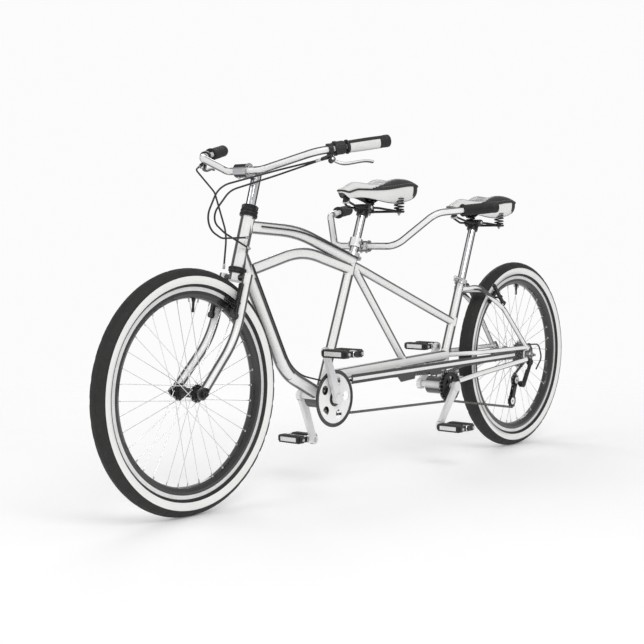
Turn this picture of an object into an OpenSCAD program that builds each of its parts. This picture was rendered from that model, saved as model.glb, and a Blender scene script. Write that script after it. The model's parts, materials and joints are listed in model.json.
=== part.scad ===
// Tandem bicycle, two riders in line, cruiser frame, whitewall tyres, timing
// chain and drive chain on the left side, one derailleur.
// +X points forward, +Y to the riders' left, +Z up. The origin is on the
// ground, in the centre plane, halfway between the two wheel axles.

/* [Wheels] */
// Distance between the front and rear axles
wheelbase = 1640; // [1636:2:1660]
// Outer radius of the tyres
wheel_r = 330; // [328:1:331]
// Radius of the tyre's round section
tyre_r = 27; // [25:0.5:27]
// Spokes in each wheel
spokes = 36; // [24, 32, 36]

/* [Steering] */
// Angle of the steering axis above the horizontal
head_angle = 73; // [72.6:0.2:73.4]
// Distance of the front axle in front of the steering axis
fork_rake = 88; // [84:1:90]
// How far the captain's stem reaches forward
stem_reach = 55; // [45:1:65]
// Half the width of the captain's handlebar
bar_half = 312; // [300:1:320]
// Height of the captain's grips above the ground
bar_top = 1006; // [990:1:1012]

/* [Seats] */
// Height of the captain's seat post top
captain_post_h = 824; // [815:1:840]
// Height of the stoker's seat post top
stoker_post_h = 786; // [775:1:800]
// Half the width of the stoker's handlebar
stoker_bar_half = 292; // [280:1:300]
// Half the width of each saddle at the back
saddle_half = 112; // [100:1:118]

/* [Drive] */
// Height of the captain's bottom bracket axis
captain_bb_h = 270; // [266:1:274]
// Height of the stoker's bottom bracket axis
stoker_bb_h = 255; // [251:1:258]
// Length of each crank from bottom bracket to pedal axis
crank_len = 152; // [146:1:158]
// Angle of the captain's left crank above forward
captain_crank_a = 68; // [0:1:359]
// Teeth by which the stoker's cranks trail the captain's
phase_teeth = 8; // [0:1:23]

/* [Tubes] */
// Outer radius of the top tube
top_r = 19; // [17:0.5:20]
// Outer radius of the down tube
down_r = 20; // [18:0.5:21]
// Outer radius of the boom between the bottom brackets
boom_r = 18; // [16:0.5:19]
// Outer radius of the fork blades
blade_r = 13; // [11:0.5:14]
// Wall of the main tubes
wall = 1.6; // [1.2:0.1:2.2]

/* [Hidden] */

// chains
pitch = 12.7;
roller_r = 3.95;
ring_teeth = 24;      // timing rings and drive ring
cog_teeth = 16;       // engaged sprocket
jockey_teeth = 11;
centre_links = 49;    // pitches between the bottom brackets
timing_y = 51;        // plane of the timing chain
drive_y = 41.5;       // plane of the drive chain

// wheel axles
front_c = [wheelbase / 2, 0, wheel_r];
rear_c = [-wheelbase / 2, 0, wheel_r];
axle_rad = 5;
axle_bore = 5.05;

// steering axis: steer(s, q, y) is s up the axis, q forward of it and y to the left
steer_up = [-cos(head_angle), 0, sin(head_angle)];
steer_fwd = [sin(head_angle), 0, cos(head_angle)];
steer_base = front_c - fork_rake * steer_fwd;
function steer(s, q = 0, y = 0) = steer_base + s * steer_up + q * steer_fwd + [0, y, 0];
crown_s = 332;
head_low = 369;
head_high = 516;
bar_s = 632;
steerer_r = 12.7;
steerer_bore = 12.72;

// bottom brackets; the captain's shell is eccentric to its axis
bb_drop = captain_bb_h - stoker_bb_h;
captain_bb = [275, 0, captain_bb_h];
stoker_bb = [captain_bb.x - sqrt(pow(centre_links * pitch, 2) - bb_drop * bb_drop), 0, stoker_bb_h];
shell_c = captain_bb + [-2.5, 0, 0];
shell_half = 34;
cup_bore = 25.65;
spindle_r = 11;
spindle_bore = 11.05;
stoker_crank_a = captain_crank_a - phase_teeth * 360 / ring_teeth;

// seat tubes: the point t up each axis from its bottom bracket, y to the left
captain_dir = [-0.3529, 0, 0.9357];
stoker_dir = [-0.3600, 0, 0.9330];
function captain_tube(t, y = 0) = captain_bb + t * captain_dir + [0, y, 0];
function stoker_tube(t, y = 0) = stoker_bb + t * stoker_dir + [0, y, 0];
function lean(dir) = atan2(dir.x, dir.z);
captain_tube_top = 455;
stoker_tube_top = 372;
seat_tube_r = 16;
seat_bore = 13.65;
post_r = 13.6;
captain_post_top = captain_tube((captain_post_h - captain_bb.z) / captain_dir.z);
stoker_post_top = stoker_tube((stoker_post_h - stoker_bb.z) / stoker_dir.z);

// handlebars: centre line of the left half, from the clamp to the end
bar_r = 11.1;
bar_clamp_r = 12.7;
bar_clamp_bore = 12.75;
grip_bore = 11.14;
captain_bar_c = steer(bar_s, stem_reach);
captain_bar_path = [
  captain_bar_c,
  captain_bar_c + [-4, 62, 0],
  [captain_bar_c.x - 54, bar_half - 97, bar_top - 35],
  [captain_bar_c.x - 244, bar_half, bar_top]];
stoker_stem_t = 488;
stoker_bar_c = captain_tube(stoker_stem_t) + [-42, 0, -9];
stoker_bar_path = [
  stoker_bar_c,
  stoker_bar_c + [-4, 118, 0],
  [stoker_bar_c.x - 90, stoker_bar_half - 85, stoker_bar_c.z + 101],
  [stoker_bar_c.x - 290, stoker_bar_half, stoker_bar_c.z + 121]];

// brake bosses, left side
front_boss_s = 230;
front_boss_y = 45;
rear_boss = [-650, 55.5, 507.5];
rear_boss_out = [-0.72, 0, 0.694];
rear_arm_up = [0.694, 0, 0.72];

// derailleur
hanger = rear_c + [6, 0, -26];
upper_jockey = [rear_c.x + 48, 0, 240];
lower_jockey = [rear_c.x + 74, 0, 168];
cage_pivot = upper_jockey + [-16, 0, -14];

// ---------- helpers ----------
function unit(v) = v / norm(v);
function mirrored(p) = [p.x, -p.y, p.z];
// unit vector at angle a above forward, in the XZ plane
function heading(a) = [cos(a), 0, sin(a)];

// rigid placement from an origin and two perpendicular unit vectors
module place(origin, ex, ey) {
  ez = cross(ex, ey);
  multmatrix([
    [ex.x, ey.x, ez.x, origin.x],
    [ex.y, ey.y, ez.y, origin.y],
    [ex.z, ey.z, ez.z, origin.z],
    [0, 0, 0, 1]]) children();
}

// children with Z along the steering axis, s up it
module on_steer(s) place(steer(s), [0, 1, 0], cross(steer_up, [0, 1, 0])) children();

// children and their mirror image across the centre plane
module both_sides() for (m = [0, 1]) mirror([0, m, 0]) children();

// round rod, tapering to end_r if given
module rod(from, to, r, end_r = undef) {
  v = to - from;
  length = norm(v);
  translate(from) rotate([0, acos(v.z / length), atan2(v.y, v.x)])
    cylinder(r1 = r, r2 = is_undef(end_r) ? r : end_r, h = length, $fn = 48);
}

// cylinder along Y, from y0 to y1, through the x and z of c
module ycyl(c, y0, y1, r, fn = 64) {
  translate([c.x, y1, c.z]) rotate([90, 0, 0]) cylinder(r = r, h = y1 - y0, $fn = fn);
}

// the same on one side: 1 left, -1 right, with distances from the centre plane
module ycyl_on(side, c, inner, outer, r, fn = 64) {
  ycyl(c, side > 0 ? inner : -outer, side > 0 ? outer : -inner, r, fn);
}

// ring along Y
module yring(c, y0, y1, r, bore) {
  difference() {
    ycyl(c, y0, y1, r);
    ycyl(c, y0 - 1, y1 + 1, bore);
  }
}

// XZ outline extruded to thickness t, its left face at y
module plate(y, t) translate([0, y, 0]) rotate([90, 0, 0]) linear_extrude(t) children();

// turn at point i of a path, and the length its rounding takes from each straight
function turn(path, i) = acos(unit(path[i] - path[i - 1]) * unit(path[i + 1] - path[i]));
function setback(path, radii, i) =
  (i == 0 || i == len(path) - 1) ? 0 : radii[i - 1] * tan(turn(path, i) / 2);

// round bar of radius r along the path, with a bend radius for each inner point
module bent(path, radii, r) {
  last = len(path) - 1;
  lap = 1.5;          // overlap of a bend into its straights
  bend_extra = 0.12;  // added to the radius in the bends
  for (i = [0:last - 1]) {
    along = unit(path[i + 1] - path[i]);
    rod(path[i] + along * setback(path, radii, i),
      path[i + 1] - along * setback(path, radii, i + 1), r);
  }
  for (i = [1:1:last - 1]) {
    before = unit(path[i] - path[i - 1]);
    after = unit(path[i + 1] - path[i]);
    inward = unit(after - before * (before * after));
    bend_r = radii[i - 1];
    lap_a = lap / bend_r * 180 / PI;
    place(path[i] - before * setback(path, radii, i) + inward * bend_r, -inward, before)
      rotate([0, 0, -lap_a])
        rotate_extrude(angle = turn(path, i) + 2 * lap_a, $fn = 96)
          translate([bend_r, 0]) circle(r = r + bend_extra, $fn = 48);
  }
}

// closed solid through count + 1 sections of m points each
module loft(points, count, m) {
  sides = [for (i = [0:count - 1]) each [for (k = [0:m - 1])
    let (a = i * m + k, b = i * m + (k + 1) % m) each [[a, b, b + m], [a, b + m, a + m]]]];
  caps = [[for (k = [m - 1:-1:0]) k], [for (k = [0:m - 1]) count * m + k]];
  polyhedron(points, concat(sides, caps), convexity = 10);
}

// ---------- chains ----------
// A belt is a loop of wheels, each [x, z, pitch radius, sense of rotation, teeth].
RADIUS = 2;
SENSE = 3;
TEETH = 4;
function pitch_radius(teeth) = pitch / 2 / sin(180 / teeth);
function wheel(c, teeth, sense = 1) = [c.x, c.z, pitch_radius(teeth), sense, teeth];
function in_plane(p) = [p[0], 0, p[1]];

timing_belt = [wheel(captain_bb, ring_teeth), wheel(stoker_bb, ring_teeth)];
drive_belt = [wheel(stoker_bb, ring_teeth), wheel(rear_c, cog_teeth),
  wheel(upper_jockey, jockey_teeth, -1), wheel(lower_jockey, jockey_teeth)];

// direction of the straight run from wheel a to wheel b
function run_a(a, b) = atan2(b[1] - a[1], b[0] - a[0])
  + asin((a[SENSE] * a[RADIUS] - b[SENSE] * b[RADIUS]) / norm([b[0] - a[0], b[1] - a[1]]));
// angle on wheel w where a run in direction a touches it
function contact_a(w, a) = w[SENSE] > 0 ? a - 90 : a + 90;
function next(belt, i) = belt[(i + 1) % len(belt)];
function prev(belt, i) = belt[(i + len(belt) - 1) % len(belt)];
function enter_a(belt, i) = contact_a(belt[i], run_a(prev(belt, i), belt[i]));
function leave_a(belt, i) = contact_a(belt[i], run_a(belt[i], next(belt, i)));
// angle brought into one turn; the half degree keeps a near-zero wrap at zero
function one_turn(a) = a < -0.5 ? one_turn(a + 360) : a >= 359.5 ? one_turn(a - 360) : a;
function wrap_a(belt, i) = one_turn(belt[i][SENSE] * (leave_a(belt, i) - enter_a(belt, i)));
function wrap_teeth(belt, i) = round(wrap_a(belt, i) * belt[i][TEETH] / 360);
function on_wheel(w, a) = [w[0] + w[RADIUS] * cos(a), w[1] + w[RADIUS] * sin(a)];
function wheel_pin(belt, i, j) =
  on_wheel(belt[i], enter_a(belt, i) + belt[i][SENSE] * j * 360 / belt[i][TEETH]);
function run_pins(a, b) =
  let (n = round(norm(b - a) / pitch)) [for (j = [1:1:n - 1]) a + (b - a) * j / n];
function pins(belt) = [for (i = [0:len(belt) - 1])
  each concat([for (j = [0:wrap_teeth(belt, i)]) wheel_pin(belt, i, j)],
    run_pins(wheel_pin(belt, i, wrap_teeth(belt, i)), wheel_pin(belt, (i + 1) % len(belt), 0)))];
// closed outline moved sideways by h
function shifted(points, h) = let (n = len(points)) [for (i = [0:n - 1])
  let (d = unit(points[(i + 1) % n] - points[(i + n - 1) % n])) points[i] + h * [d[1], -d[0]]];

// two continuous side bands with a pin and a roller at each pitch
module chain(belt, y) {
  points = pins(belt);
  band_y = 2.1;
  band_t = 1.6;
  band_half = 4;
  for (s = [-1, 1]) plate(y + s * band_y + band_t / 2, band_t) difference() {
    polygon(shifted(points, band_half));
    polygon(shifted(points, -band_half));
  }
  for (p = points) ycyl(in_plane(p), y - 2.9, y + 2.9, 1.9, 24);
  for (p = points) ycyl(in_plane(p), y - 1.35, y + 1.35, roller_r, 24);
}
module timing_chain() color("dimgray") chain(timing_belt, timing_y);
module drive_chain() color("dimgray") chain(drive_belt, drive_y);

// toothed disc of thickness t about plane y, with a gap at angle a; children are cut away
module sprocket(w, a, y, t, tip = 2.4) {
  c = in_plane(w);
  difference() {
    ycyl(c, y - t / 2, y + t / 2, w[RADIUS] + tip);
    for (i = [0:w[TEETH] - 1]) {
      out = heading(a + i * 360 / w[TEETH]);
      ycyl(c + w[RADIUS] * out, y - t, y + t, roller_r + 0.1, 24);
      ycyl(c + (w[RADIUS] + 2.6) * out, y - t, y + t, 5.4, 24);
    }
    children();
  }
}

// ---------- frame ----------
head_tube_r = 20;
dropout_y = 73;
dropout_t = 5.5;
bracket_x = [-90, -250];  // chain guard brackets
bracket_z = 331;
frame_cable_r = 2.4;
cable_r = 2.6;

top_tube = [steer(489), steer(489) + [-215, 0, -12], captain_tube(432)];
lower_top_tube = [steer(390) + [-32, 0, -30], [355, 0, 706], captain_tube(404)];
down_tube = [steer(410), [428, 0, 352], captain_bb + [2, 0, 8]];
boom = [captain_tube(62), stoker_tube(104)];
rear_top_tube = [captain_tube(420), [60, 0, 640], stoker_tube(222)];
// left stays, from the stoker's seat tube to the dropout
chain_stay = [stoker_bb + [-4, 20, 0], [-415, 26, 262], [-520, 50, 282], rear_c + [25, 70.5, -16]];
chain_stay_end = [rear_c.x + 25, 70.5, 314];
middle_stay = [stoker_tube(104) + [0, 6, 2], [-492, 62, 357], [rear_c.x + 12, 70, 357]];
seat_stay = [stoker_tube(340, 12), [-522, 46, 580], [-665, 56, 500], [rear_c.x + 17, 70.5, 352]];

module dropout() {
  difference() {
    translate([rear_c.x, 0, rear_c.z]) plate(dropout_y, dropout_t)
      polygon([[40, -24], [38, 14], [24, 40], [2, 42], [-16, 22], [-18, -4], [-14, -22], [4, -34]]);
    ycyl(rear_c, 60, 80, axle_bore);
    ycyl(rear_c + [24, 0, 2], 60, 80, 2.5);
  }
}

module frame_half() {
  bent([chain_stay[0], chain_stay[1], chain_stay[2], chain_stay_end], [80, 120], 9);
  bent(middle_stay, [70], 8);
  bent(seat_stay, [60, 90], 8);
  dropout();
  place(rear_boss, [0, 1, 0], rear_boss_out)
    rotate([-90, 0, 0]) cylinder(r = 5, h = 24, $fn = 32);
}

module frame() {
  color("white") difference() {
    union() {
      rod(steer(head_low), steer(head_high), head_tube_r);
      difference() {
        union() {
          bent(top_tube, [520], top_r);
          bent(lower_top_tube, [300], 17);
        }
        // room for the seat collar
        rod(captain_tube(captain_tube_top - 15.2), captain_tube(captain_tube_top + 40), 20.7);
      }
      bent(down_tube, [150], down_r);
      rod(captain_tube(0), captain_tube(captain_tube_top), seat_tube_r);
      rod(stoker_tube(0), stoker_tube(stoker_tube_top), seat_tube_r);
      rod(boom[0], boom[1], boom_r);
      // diagonal from the captain's seat tube down to the boom
      rod(captain_tube(425), [-149, 0, 350], 13);
      bent(rear_top_tube, [260], 14);
      ycyl(shell_c, -shell_half, shell_half, 33);
      ycyl(stoker_bb, -shell_half, shell_half, 29);
      both_sides() frame_half();
      // bridges between the seat stays and between the chain stays
      rod([-552, -50, 563], [-552, 50, 563], 7);
      rod([-462, -36, 271], [-462, 36, 271], 7);
      for (x = bracket_x) rod([x, 8, bracket_z], [x, 58.4, bracket_z], 4);
      // derailleur hanger
      translate([hanger.x, dropout_y, hanger.z]) rotate([90, 0, 0])
        cylinder(r = 11, h = dropout_t, $fn = 40);
    }
    rod(steer(head_low - 1), steer(head_high + 1), 16);
    // room for the lower cup and the fork crown
    rod(steer(crown_s - 40), steer(head_low - 0.02), 26.5);
    rod(captain_tube(38), captain_tube(captain_tube_top + 1), seat_bore);
    rod(stoker_tube(34), stoker_tube(stoker_tube_top + 1), seat_bore);
    ycyl(shell_c, -shell_half - 1, shell_half + 1, 30);
    ycyl(stoker_bb, -shell_half - 1, shell_half + 1, cup_bore);
    rod(boom[0] + [-24, 0, 0.5], boom[1] + [30, 0, -0.5], boom_r - wall);
    ycyl(hanger, 60, 80, 5);
  }
}

// cup pressed into the head tube end at s; away is 1 upward, -1 downward
module headset_cup(s, away) {
  near = s + away * 0.05;
  far = s + away * 12;
  difference() {
    union() {
      rod(steer(near), steer(far), 24);
      rod(steer(near + away * 0.5), steer(near - away * 12), 15.98);
    }
    rod(steer(near - away * 20), steer(far + away * 20), 13.6);
    rod(steer(near + away), steer(far + away), 18.02);
  }
}
module headset_cups() {
  color("silver") {
    headset_cup(head_low, -1);
    headset_cup(head_high, 1);
  }
}

module cartridge_bearings() {
  color("dimgray") {
    for (bb = [captain_bb, stoker_bb]) for (y = [-33, 25]) yring(bb, y, y + 8, 19.98, spindle_bore);
    for (s = [head_low - 11.5, head_high + 1.5]) difference() {
      rod(steer(s), steer(s + 10), 18);
      rod(steer(s - 1), steer(s + 11), 12.75);
    }
  }
}

module eccentric_insert() {
  color("silver") difference() {
    ycyl(shell_c, -shell_half, shell_half, 29.98);
    ycyl(captain_bb, -shell_half - 1, shell_half + 1, cup_bore);
  }
}

module bottom_bracket_cups() {
  color("silver") for (bb = [captain_bb, stoker_bb]) for (y = [-36, 24])
    yring(bb, y, y + 12, 25.62, 20);
}

module chain_guard() {
  color("black") difference() {
    union() {
      plate(60.5, 2) polygon([[196, 306], [196, 334.5], [-744, 347.5], [-744, 322]]);
      // tabs under the strip
      plate(60.4, 1.8) polygon([[-30, 316], [-55, 292], [-128, 297], [-136, 321]]);
      plate(60.4, 1.8) polygon([[-210, 320], [-218, 299], [-276, 301], [-282, 322]]);
    }
    for (x = bracket_x) ycyl([x, 0, bracket_z], 50, 70, 2);
  }
}

// split collar at the top of a seat tube; children are cut away in the lug's frame
module seat_collar(bb, dir, top, lug_x, slot_x) {
  function at(t) = bb + t * dir;
  difference() {
    union() {
      rod(at(top - 15), at(top + 1), 20.5);
      translate(at(top - 7)) rotate([0, lean(dir), 0]) translate([lug_x, -9, -6]) cube([18, 18, 12]);
    }
    rod(at(top - 17), at(top + 0.03), seat_tube_r + 0.04);
    rod(at(top - 17), at(top + 2), 13.7);
    translate(at(top - 7)) rotate([0, lean(dir), 0]) {
      translate([slot_x, -1, -12]) cube([30, 2, 24]);
      children();
    }
  }
}
skewer_x = 26;  // lever skewer in front of the stoker's seat tube axis
module seat_collars() {
  color("silver") {
    seat_collar(captain_bb, captain_dir, captain_tube_top, lug_x = -32, slot_x = -40);
    seat_collar(stoker_bb, stoker_dir, stoker_tube_top, lug_x = 14, slot_x = 10)
      translate([skewer_x, 20, 0]) rotate([90, 0, 0]) cylinder(r = 2.6, h = 40, $fn = 32);
  }
}

// cam lever at the left of the stoker's collar
module stoker_seat_lever() {
  lug = stoker_tube(stoker_tube_top - 7)
    + skewer_x * [cos(lean(stoker_dir)), 0, -sin(lean(stoker_dir))];
  cam = lug + [0, 15.5, 0];
  tip = lug + [50, 27, 10];
  color("silver") difference() {
    union() {
      translate(cam + [0, 0, -7]) cylinder(r = 6, h = 14, $fn = 40);
      rod(cam, lug + [6, 26, 2], 4.5);
      rod(lug + [5, 24.5, 1.6], tip, 4.5, 3.5);
      translate(tip) sphere(r = 5, $fn = 24);
    }
    translate(cam + [0, 0, -12]) cylinder(r = 2.55, h = 24, $fn = 32);
  }
  color("dimgray") translate(cam + [0, 0, -10]) cylinder(r = 2.5, h = 20, $fn = 32);
}

// washer from washer_y and hexagon nut from nut_y to end_y, on both sides
module axle_nuts(c, washer_y, nut_y, end_y) {
  for (s = [-1, 1]) difference() {
    union() {
      ycyl_on(s, c, washer_y, washer_y + 2, 12);
      ycyl_on(s, c, nut_y, end_y, 9, 6);
    }
    ycyl(c, -100, 100, axle_rad + 0.02);
  }
}

module rear_axle() {
  color("silver") {
    union() {
      ycyl(rear_c, -84.15, 84.15, axle_rad);
      ycyl(rear_c, -94, 94, 4.7);
      for (s = [-1, 1]) ycyl_on(s, rear_c, 60.2, 67.4, 8.5);
    }
    axle_nuts(rear_c, washer_y = 73.1, nut_y = 75, end_y = 84);
  }
}

module frame_cables() {
  color("black") {
    bent([top_tube[0] + [-40, 23, 0], top_tube[1] + [0, 23, 0], captain_tube(440, 23)],
      [520], frame_cable_r);
    bent([steer(396) + [-26, 25, -16], [424, 25, 352],
      captain_bb + [-8, 38, 44], captain_bb + [-60, 25, 74]], [140, 20], frame_cable_r);
    // loop behind the left dropout
    bent([[rear_c.x + 30, 84, 369], [rear_c.x - 40, 84, 366],
      [rear_c.x - 62, 84, 315], [rear_c.x - 30, 80, 276]], [28, 28], cable_r);
  }
}

// ---------- fork and stem ----------
blade_y = 44;
tip_inner = 50.1;  // faces of the fork ends
tip_outer = 55.1;
blade_path = [steer(344, 0, blade_y), steer(172, 0, 46), front_c + [-6, 52.5, 6]];

module fork() {
  color("white") difference() {
    union() {
      rod(steer(crown_s), steer(crown_s + 20), 19);
      rod(steer(crown_s + 10), steer(548), steerer_r);
      rod(steer(crown_s + 10, 0, -50), steer(crown_s + 10, 0, 50), 9.9);
      both_sides() {
        rod(steer(crown_s - 8, 0, blade_y), steer(crown_s + 20, 0, blade_y), 13.6);
        bent(blade_path, [260], blade_r);
        ycyl(front_c, tip_inner, tip_outer, 17);
        rod(steer(front_boss_s, 0, front_boss_y),
          steer(front_boss_s, blade_r + 12, front_boss_y), 5);
      }
    }
    rod(steer(470), steer(549), 11.2);
    ycyl(front_c, -70, 70, axle_bore);
    // flat faces at the fork ends
    both_sides() {
      ycyl(front_c, 34, tip_inner, 17.5);
      ycyl(front_c, tip_outer, 75, 17.5);
    }
  }
}

module headset_races() {
  color("silver") {
    // crown race
    difference() {
      rod(steer(crown_s + 20.02), steer(head_low - 12.1), 21);
      rod(steer(crown_s + 18), steer(head_low), steerer_bore);
    }
    // upper race
    difference() {
      union() {
        rod(steer(head_high + 12.1), steer(head_high + 19), 23);
        rod(steer(head_high + 18), steer(head_high + 22), 20);
      }
      rod(steer(head_high + 10), steer(head_high + 24), steerer_bore);
    }
    // octagonal locknut
    difference() {
      on_steer(head_high + 22.05) cylinder(r = 23.5, h = 10, $fn = 8);
      rod(steer(head_high + 20), steer(head_high + 35), steerer_bore);
    }
  }
}

module stem() {
  stem_top = 648;
  color("gainsboro") difference() {
    union() {
      rod(steer(480), steer(552), 11.1);
      rod(steer(550.5), steer(stem_top), 14);
      rod(steer(bar_s), steer(bar_s, stem_reach - 6), 12.5);
      ycyl(captain_bar_c, -22, 22, 20);
    }
    ycyl(captain_bar_c, -23, 23, bar_clamp_bore);
    rod(steer(560), steer(700), 4);
    rod(steer(474), steer(520), 7);
  }
  // bolt
  color("silver") {
    rod(steer(500), steer(stem_top), 3.9);
    on_steer(stem_top + 0.05) cylinder(r = 8, h = 6, $fn = 6);
  }
}

// ---------- handlebars and grips ----------
// bar along the path and its mirror image, bored from the fraction bore_from of
// the last straight to the end
module handlebar(path, radii, clamp_half, bore_from) {
  difference() {
    union() {
      ycyl(path[0], -clamp_half, clamp_half, bar_clamp_r);
      both_sides() bent([path[0] + [0, clamp_half - 2, 0], path[1], path[2], path[3]], radii, bar_r);
    }
    both_sides() rod(path[2] + bore_from * (path[3] - path[2]),
      path[3] + 5 * unit(path[3] - path[2]), 9.3);
  }
}
module captain_handlebar() {
  color("gainsboro") handlebar(captain_bar_path, [90, 70], clamp_half = 26, bore_from = 0.45);
}

// pair of grips of the given length up the bars, closed at their ends
module grips(path, length) {
  bar_end = path[3];
  along = unit(path[3] - path[2]);
  both_sides() difference() {
    rod(bar_end - length * along, bar_end + 4 * along, 16.5);
    rod(bar_end - (length + 1) * along, bar_end + 0.05 * along, grip_bore);
  }
}
module captain_grips() color("black") grips(captain_bar_path, 128);

module stoker_bar() {
  // stem clamped round the captain's seat post
  color("silver") difference() {
    union() {
      rod(captain_tube(stoker_stem_t - 14), captain_tube(stoker_stem_t + 14), 19.5);
      rod(captain_tube(stoker_stem_t), stoker_bar_c + [8, 0, 0], 12);
      ycyl(stoker_bar_c, -20, 20, 18);
    }
    rod(captain_tube(stoker_stem_t - 18), captain_tube(stoker_stem_t + 18), 13.64);
    ycyl(stoker_bar_c, -21, 21, bar_clamp_bore);
  }
  color("gainsboro") handlebar(stoker_bar_path, [60, 80], clamp_half = 24, bore_from = 0.5);
}
module stoker_grips() color("black") grips(stoker_bar_path, 125);

// ---------- brake levers and shifter ----------
// left grip's frame: from the bar's end, a outward along the bar, b down to the
// lever, c along the lever's pivot
grip_out = unit(captain_bar_path[3] - captain_bar_path[2]);
grip_down = unit(cross(cross(grip_out, [0.1, 0.28, -0.95]), grip_out));
grip_side = cross(grip_out, grip_down);
function grip_at(a, b = 0, c = 0) =
  captain_bar_path[3] + grip_out * a + grip_down * b + grip_side * c;
pivot_a = -178;
pivot_b = 30;
function pivot(c = 0) = grip_at(pivot_a, pivot_b, c);

// clamp ring on the bar with the lever's pivot ears
module perch() {
  difference() {
    union() {
      rod(grip_at(-182.8), grip_at(-170), 16);
      rod(grip_at(-177.5), grip_at(-177.5, pivot_b), 6);
      rod(pivot(-9), pivot(9), 7.5);
      rod(grip_at(pivot_a, 18), grip_at(-206, 24), 5);
    }
    rod(grip_at(-188), grip_at(-168), grip_bore);
    place(pivot(), grip_out, grip_down) translate([-12, -9, -4.1]) cube([24, 30, 8.2]);
    rod(pivot(-20), pivot(20), 2.5);
  }
}
module lever_perches() color("black") both_sides() perch();

// lever blade and its pivot pin
module lever() {
  difference() {
    union() {
      rod(pivot(-3.9), pivot(3.9), 7);
      rod(grip_at(-176, 31), grip_at(-148, 47), 3.8, 4.6);
      rod(grip_at(-152, 45.5), grip_at(-62, 48), 5.2);
      translate(grip_at(-62, 48)) sphere(r = 6, $fn = 24);
    }
    rod(pivot(-20), pivot(20), 2.52);
  }
  rod(pivot(-9.6), pivot(9.6), 2.45);
}
module left_brake_lever() color("black") lever();
module right_brake_lever() color("black") mirror([0, 1, 0]) lever();

module twist_shifter() {
  color("black") difference() {
    union() {
      rod(grip_at(-164), grip_at(-131), 17.5);
      rod(grip_at(-164), grip_at(-158), 20);
    }
    rod(grip_at(-166), grip_at(-129), 11.15);
  }
}

module front_axle() {
  color("silver") {
    ycyl(front_c, -72, 72, axle_rad);
    axle_nuts(front_c, washer_y = 55.2, nut_y = 57, end_y = 67);
    for (s = [-1, 1]) difference() {
      ycyl_on(s, front_c, 44.2, 50, 8.5);
      ycyl(front_c, -70, 70, axle_rad + 0.02);
    }
  }
}

module bar_cables() {
  color("black") {
    // from the right perch
    bent([mirrored(grip_at(-208.5, 24.6)), mirrored(grip_at(-246, 32)), [604, -110, 868],
      steer(452, 44, -24), steer(356, 36, -16)], [30, 60, 120], cable_r);
    // from the left perch
    bent([grip_at(-209.6, 24.8), [598, 122, 922], [742, 40, 876], [800, 38, 772],
      [730, 38, 738], [620, 34, 741]], [60, 70, 48, 40], cable_r);
    // from the shifter
    bent([grip_at(-166, 19, 14), grip_at(-206, 22, 15), [604, 124, 908], [706, 46, 866],
      [766, 30, 790], [706, 27, 752], steer(424) + [-4, 28, 0]], [60, 60, 60, 34, 50], cable_r);
  }
}

// ---------- brakes ----------
// Arm in its own frame, x away from the wheel, y up along the arm, z along the boss.
// The pad reaches pad_reach toward the rim at height pad_h, turned by tilt.
module brake_arm(pad_reach, pad_h, tilt) {
  difference() {
    union() {
      rod([0, 0, 0], [0, 0, 10], 9);
      translate([-6, 4, 1]) cube([11, 82, 8]);
      rod([-0.5, 86, 1], [-0.5, 86, 9], 6.5);
      rod([0, pad_h, 0], [0, pad_h, 12], 6.5);
    }
    rod([0, 0, -1], [0, 0, 11], 5.04);
  }
  // pad and its holder
  rod([-6.6, pad_h, 5], [9 - pad_reach, pad_h, 5], 3.5);
  translate([-pad_reach, pad_h, 5]) rotate([tilt, 0, 0])
    translate([0, -5, -27]) cube([10, 10, 54]);
}
module front_brake() {
  place(steer(front_boss_s, blade_r + 0.6, front_boss_y), [0, 1, 0], steer_up)
    brake_arm(front_boss_y - 18.4, pad_h = 36, tilt = -15);
}
module rear_brake() {
  place(rear_boss + 12.4 * rear_boss_out, [0, 1, 0], rear_arm_up) mirror([0, 0, 1])
    brake_arm(rear_boss.y - 18.2, pad_h = 28, tilt = 3);
}
module front_left_brake_arm() color("silver") front_brake();
module front_right_brake_arm() color("silver") mirror([0, 1, 0]) front_brake();
module rear_left_brake_arm() color("silver") rear_brake();
module rear_right_brake_arm() color("silver") mirror([0, 1, 0]) rear_brake();

// ---------- wheels ----------
front_flange_r = 24;
front_flange_y = [33, -33];  // left, right
rear_flange_r = 26;
rear_flange_y = [19, -33];

module tyre(c) {
  mid_r = wheel_r - tyre_r;
  color("white") translate(c) rotate([90, 0, 0]) rotate_extrude($fn = 180) difference() {
    translate([mid_r, 0]) circle(r = tyre_r, $fn = 64);
    translate([mid_r, 0]) circle(r = tyre_r - 4, $fn = 64);
    // opening toward the rim
    translate([mid_r - 60, -40]) square([38, 80]);
  }
}
// rim section: [radius, distance from the centre plane]
rim_profile = [
  [250, -5], [253, -11], [262, -16], [280.9, -16], [280.9, -13.5], [270, -13.5], [266, -9],
  [266, 9], [270, 13.5], [280.9, 13.5], [280.9, 16], [262, 16], [253, 11], [250, 5]];
module rim(c) {
  color("black") translate(c) rotate([90, 0, 0]) rotate_extrude($fn = 180) polygon(rim_profile);
}
// crossed spokes, alternating between the left and right flange
module spoke_set(c, flange_y, flange_r) {
  cross_a = 62;   // hub end ahead of or behind the rim end
  offset_y = 1.15;
  color("silver") for (s = [0, 1]) for (k = [0:spokes / 4 - 1]) for (d = [-1, 1]) {
    rim_a = (4 * k + 2 * s + (d + 1) / 2) * 360 / spokes;
    hub_y = flange_y[s] + d * offset_y;
    rim_y = (s == 0 ? 4 : -4) + d * offset_y;
    rod(c + (flange_r - 3) * heading(rim_a + d * cross_a) + [0, hub_y, 0],
      c + 252 * heading(rim_a) + [0, rim_y, 0], 1.0);
  }
}
module flanges(c, ys, r) for (y = ys) ycyl(c, y - 1.7, y + 1.7, r);

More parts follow.
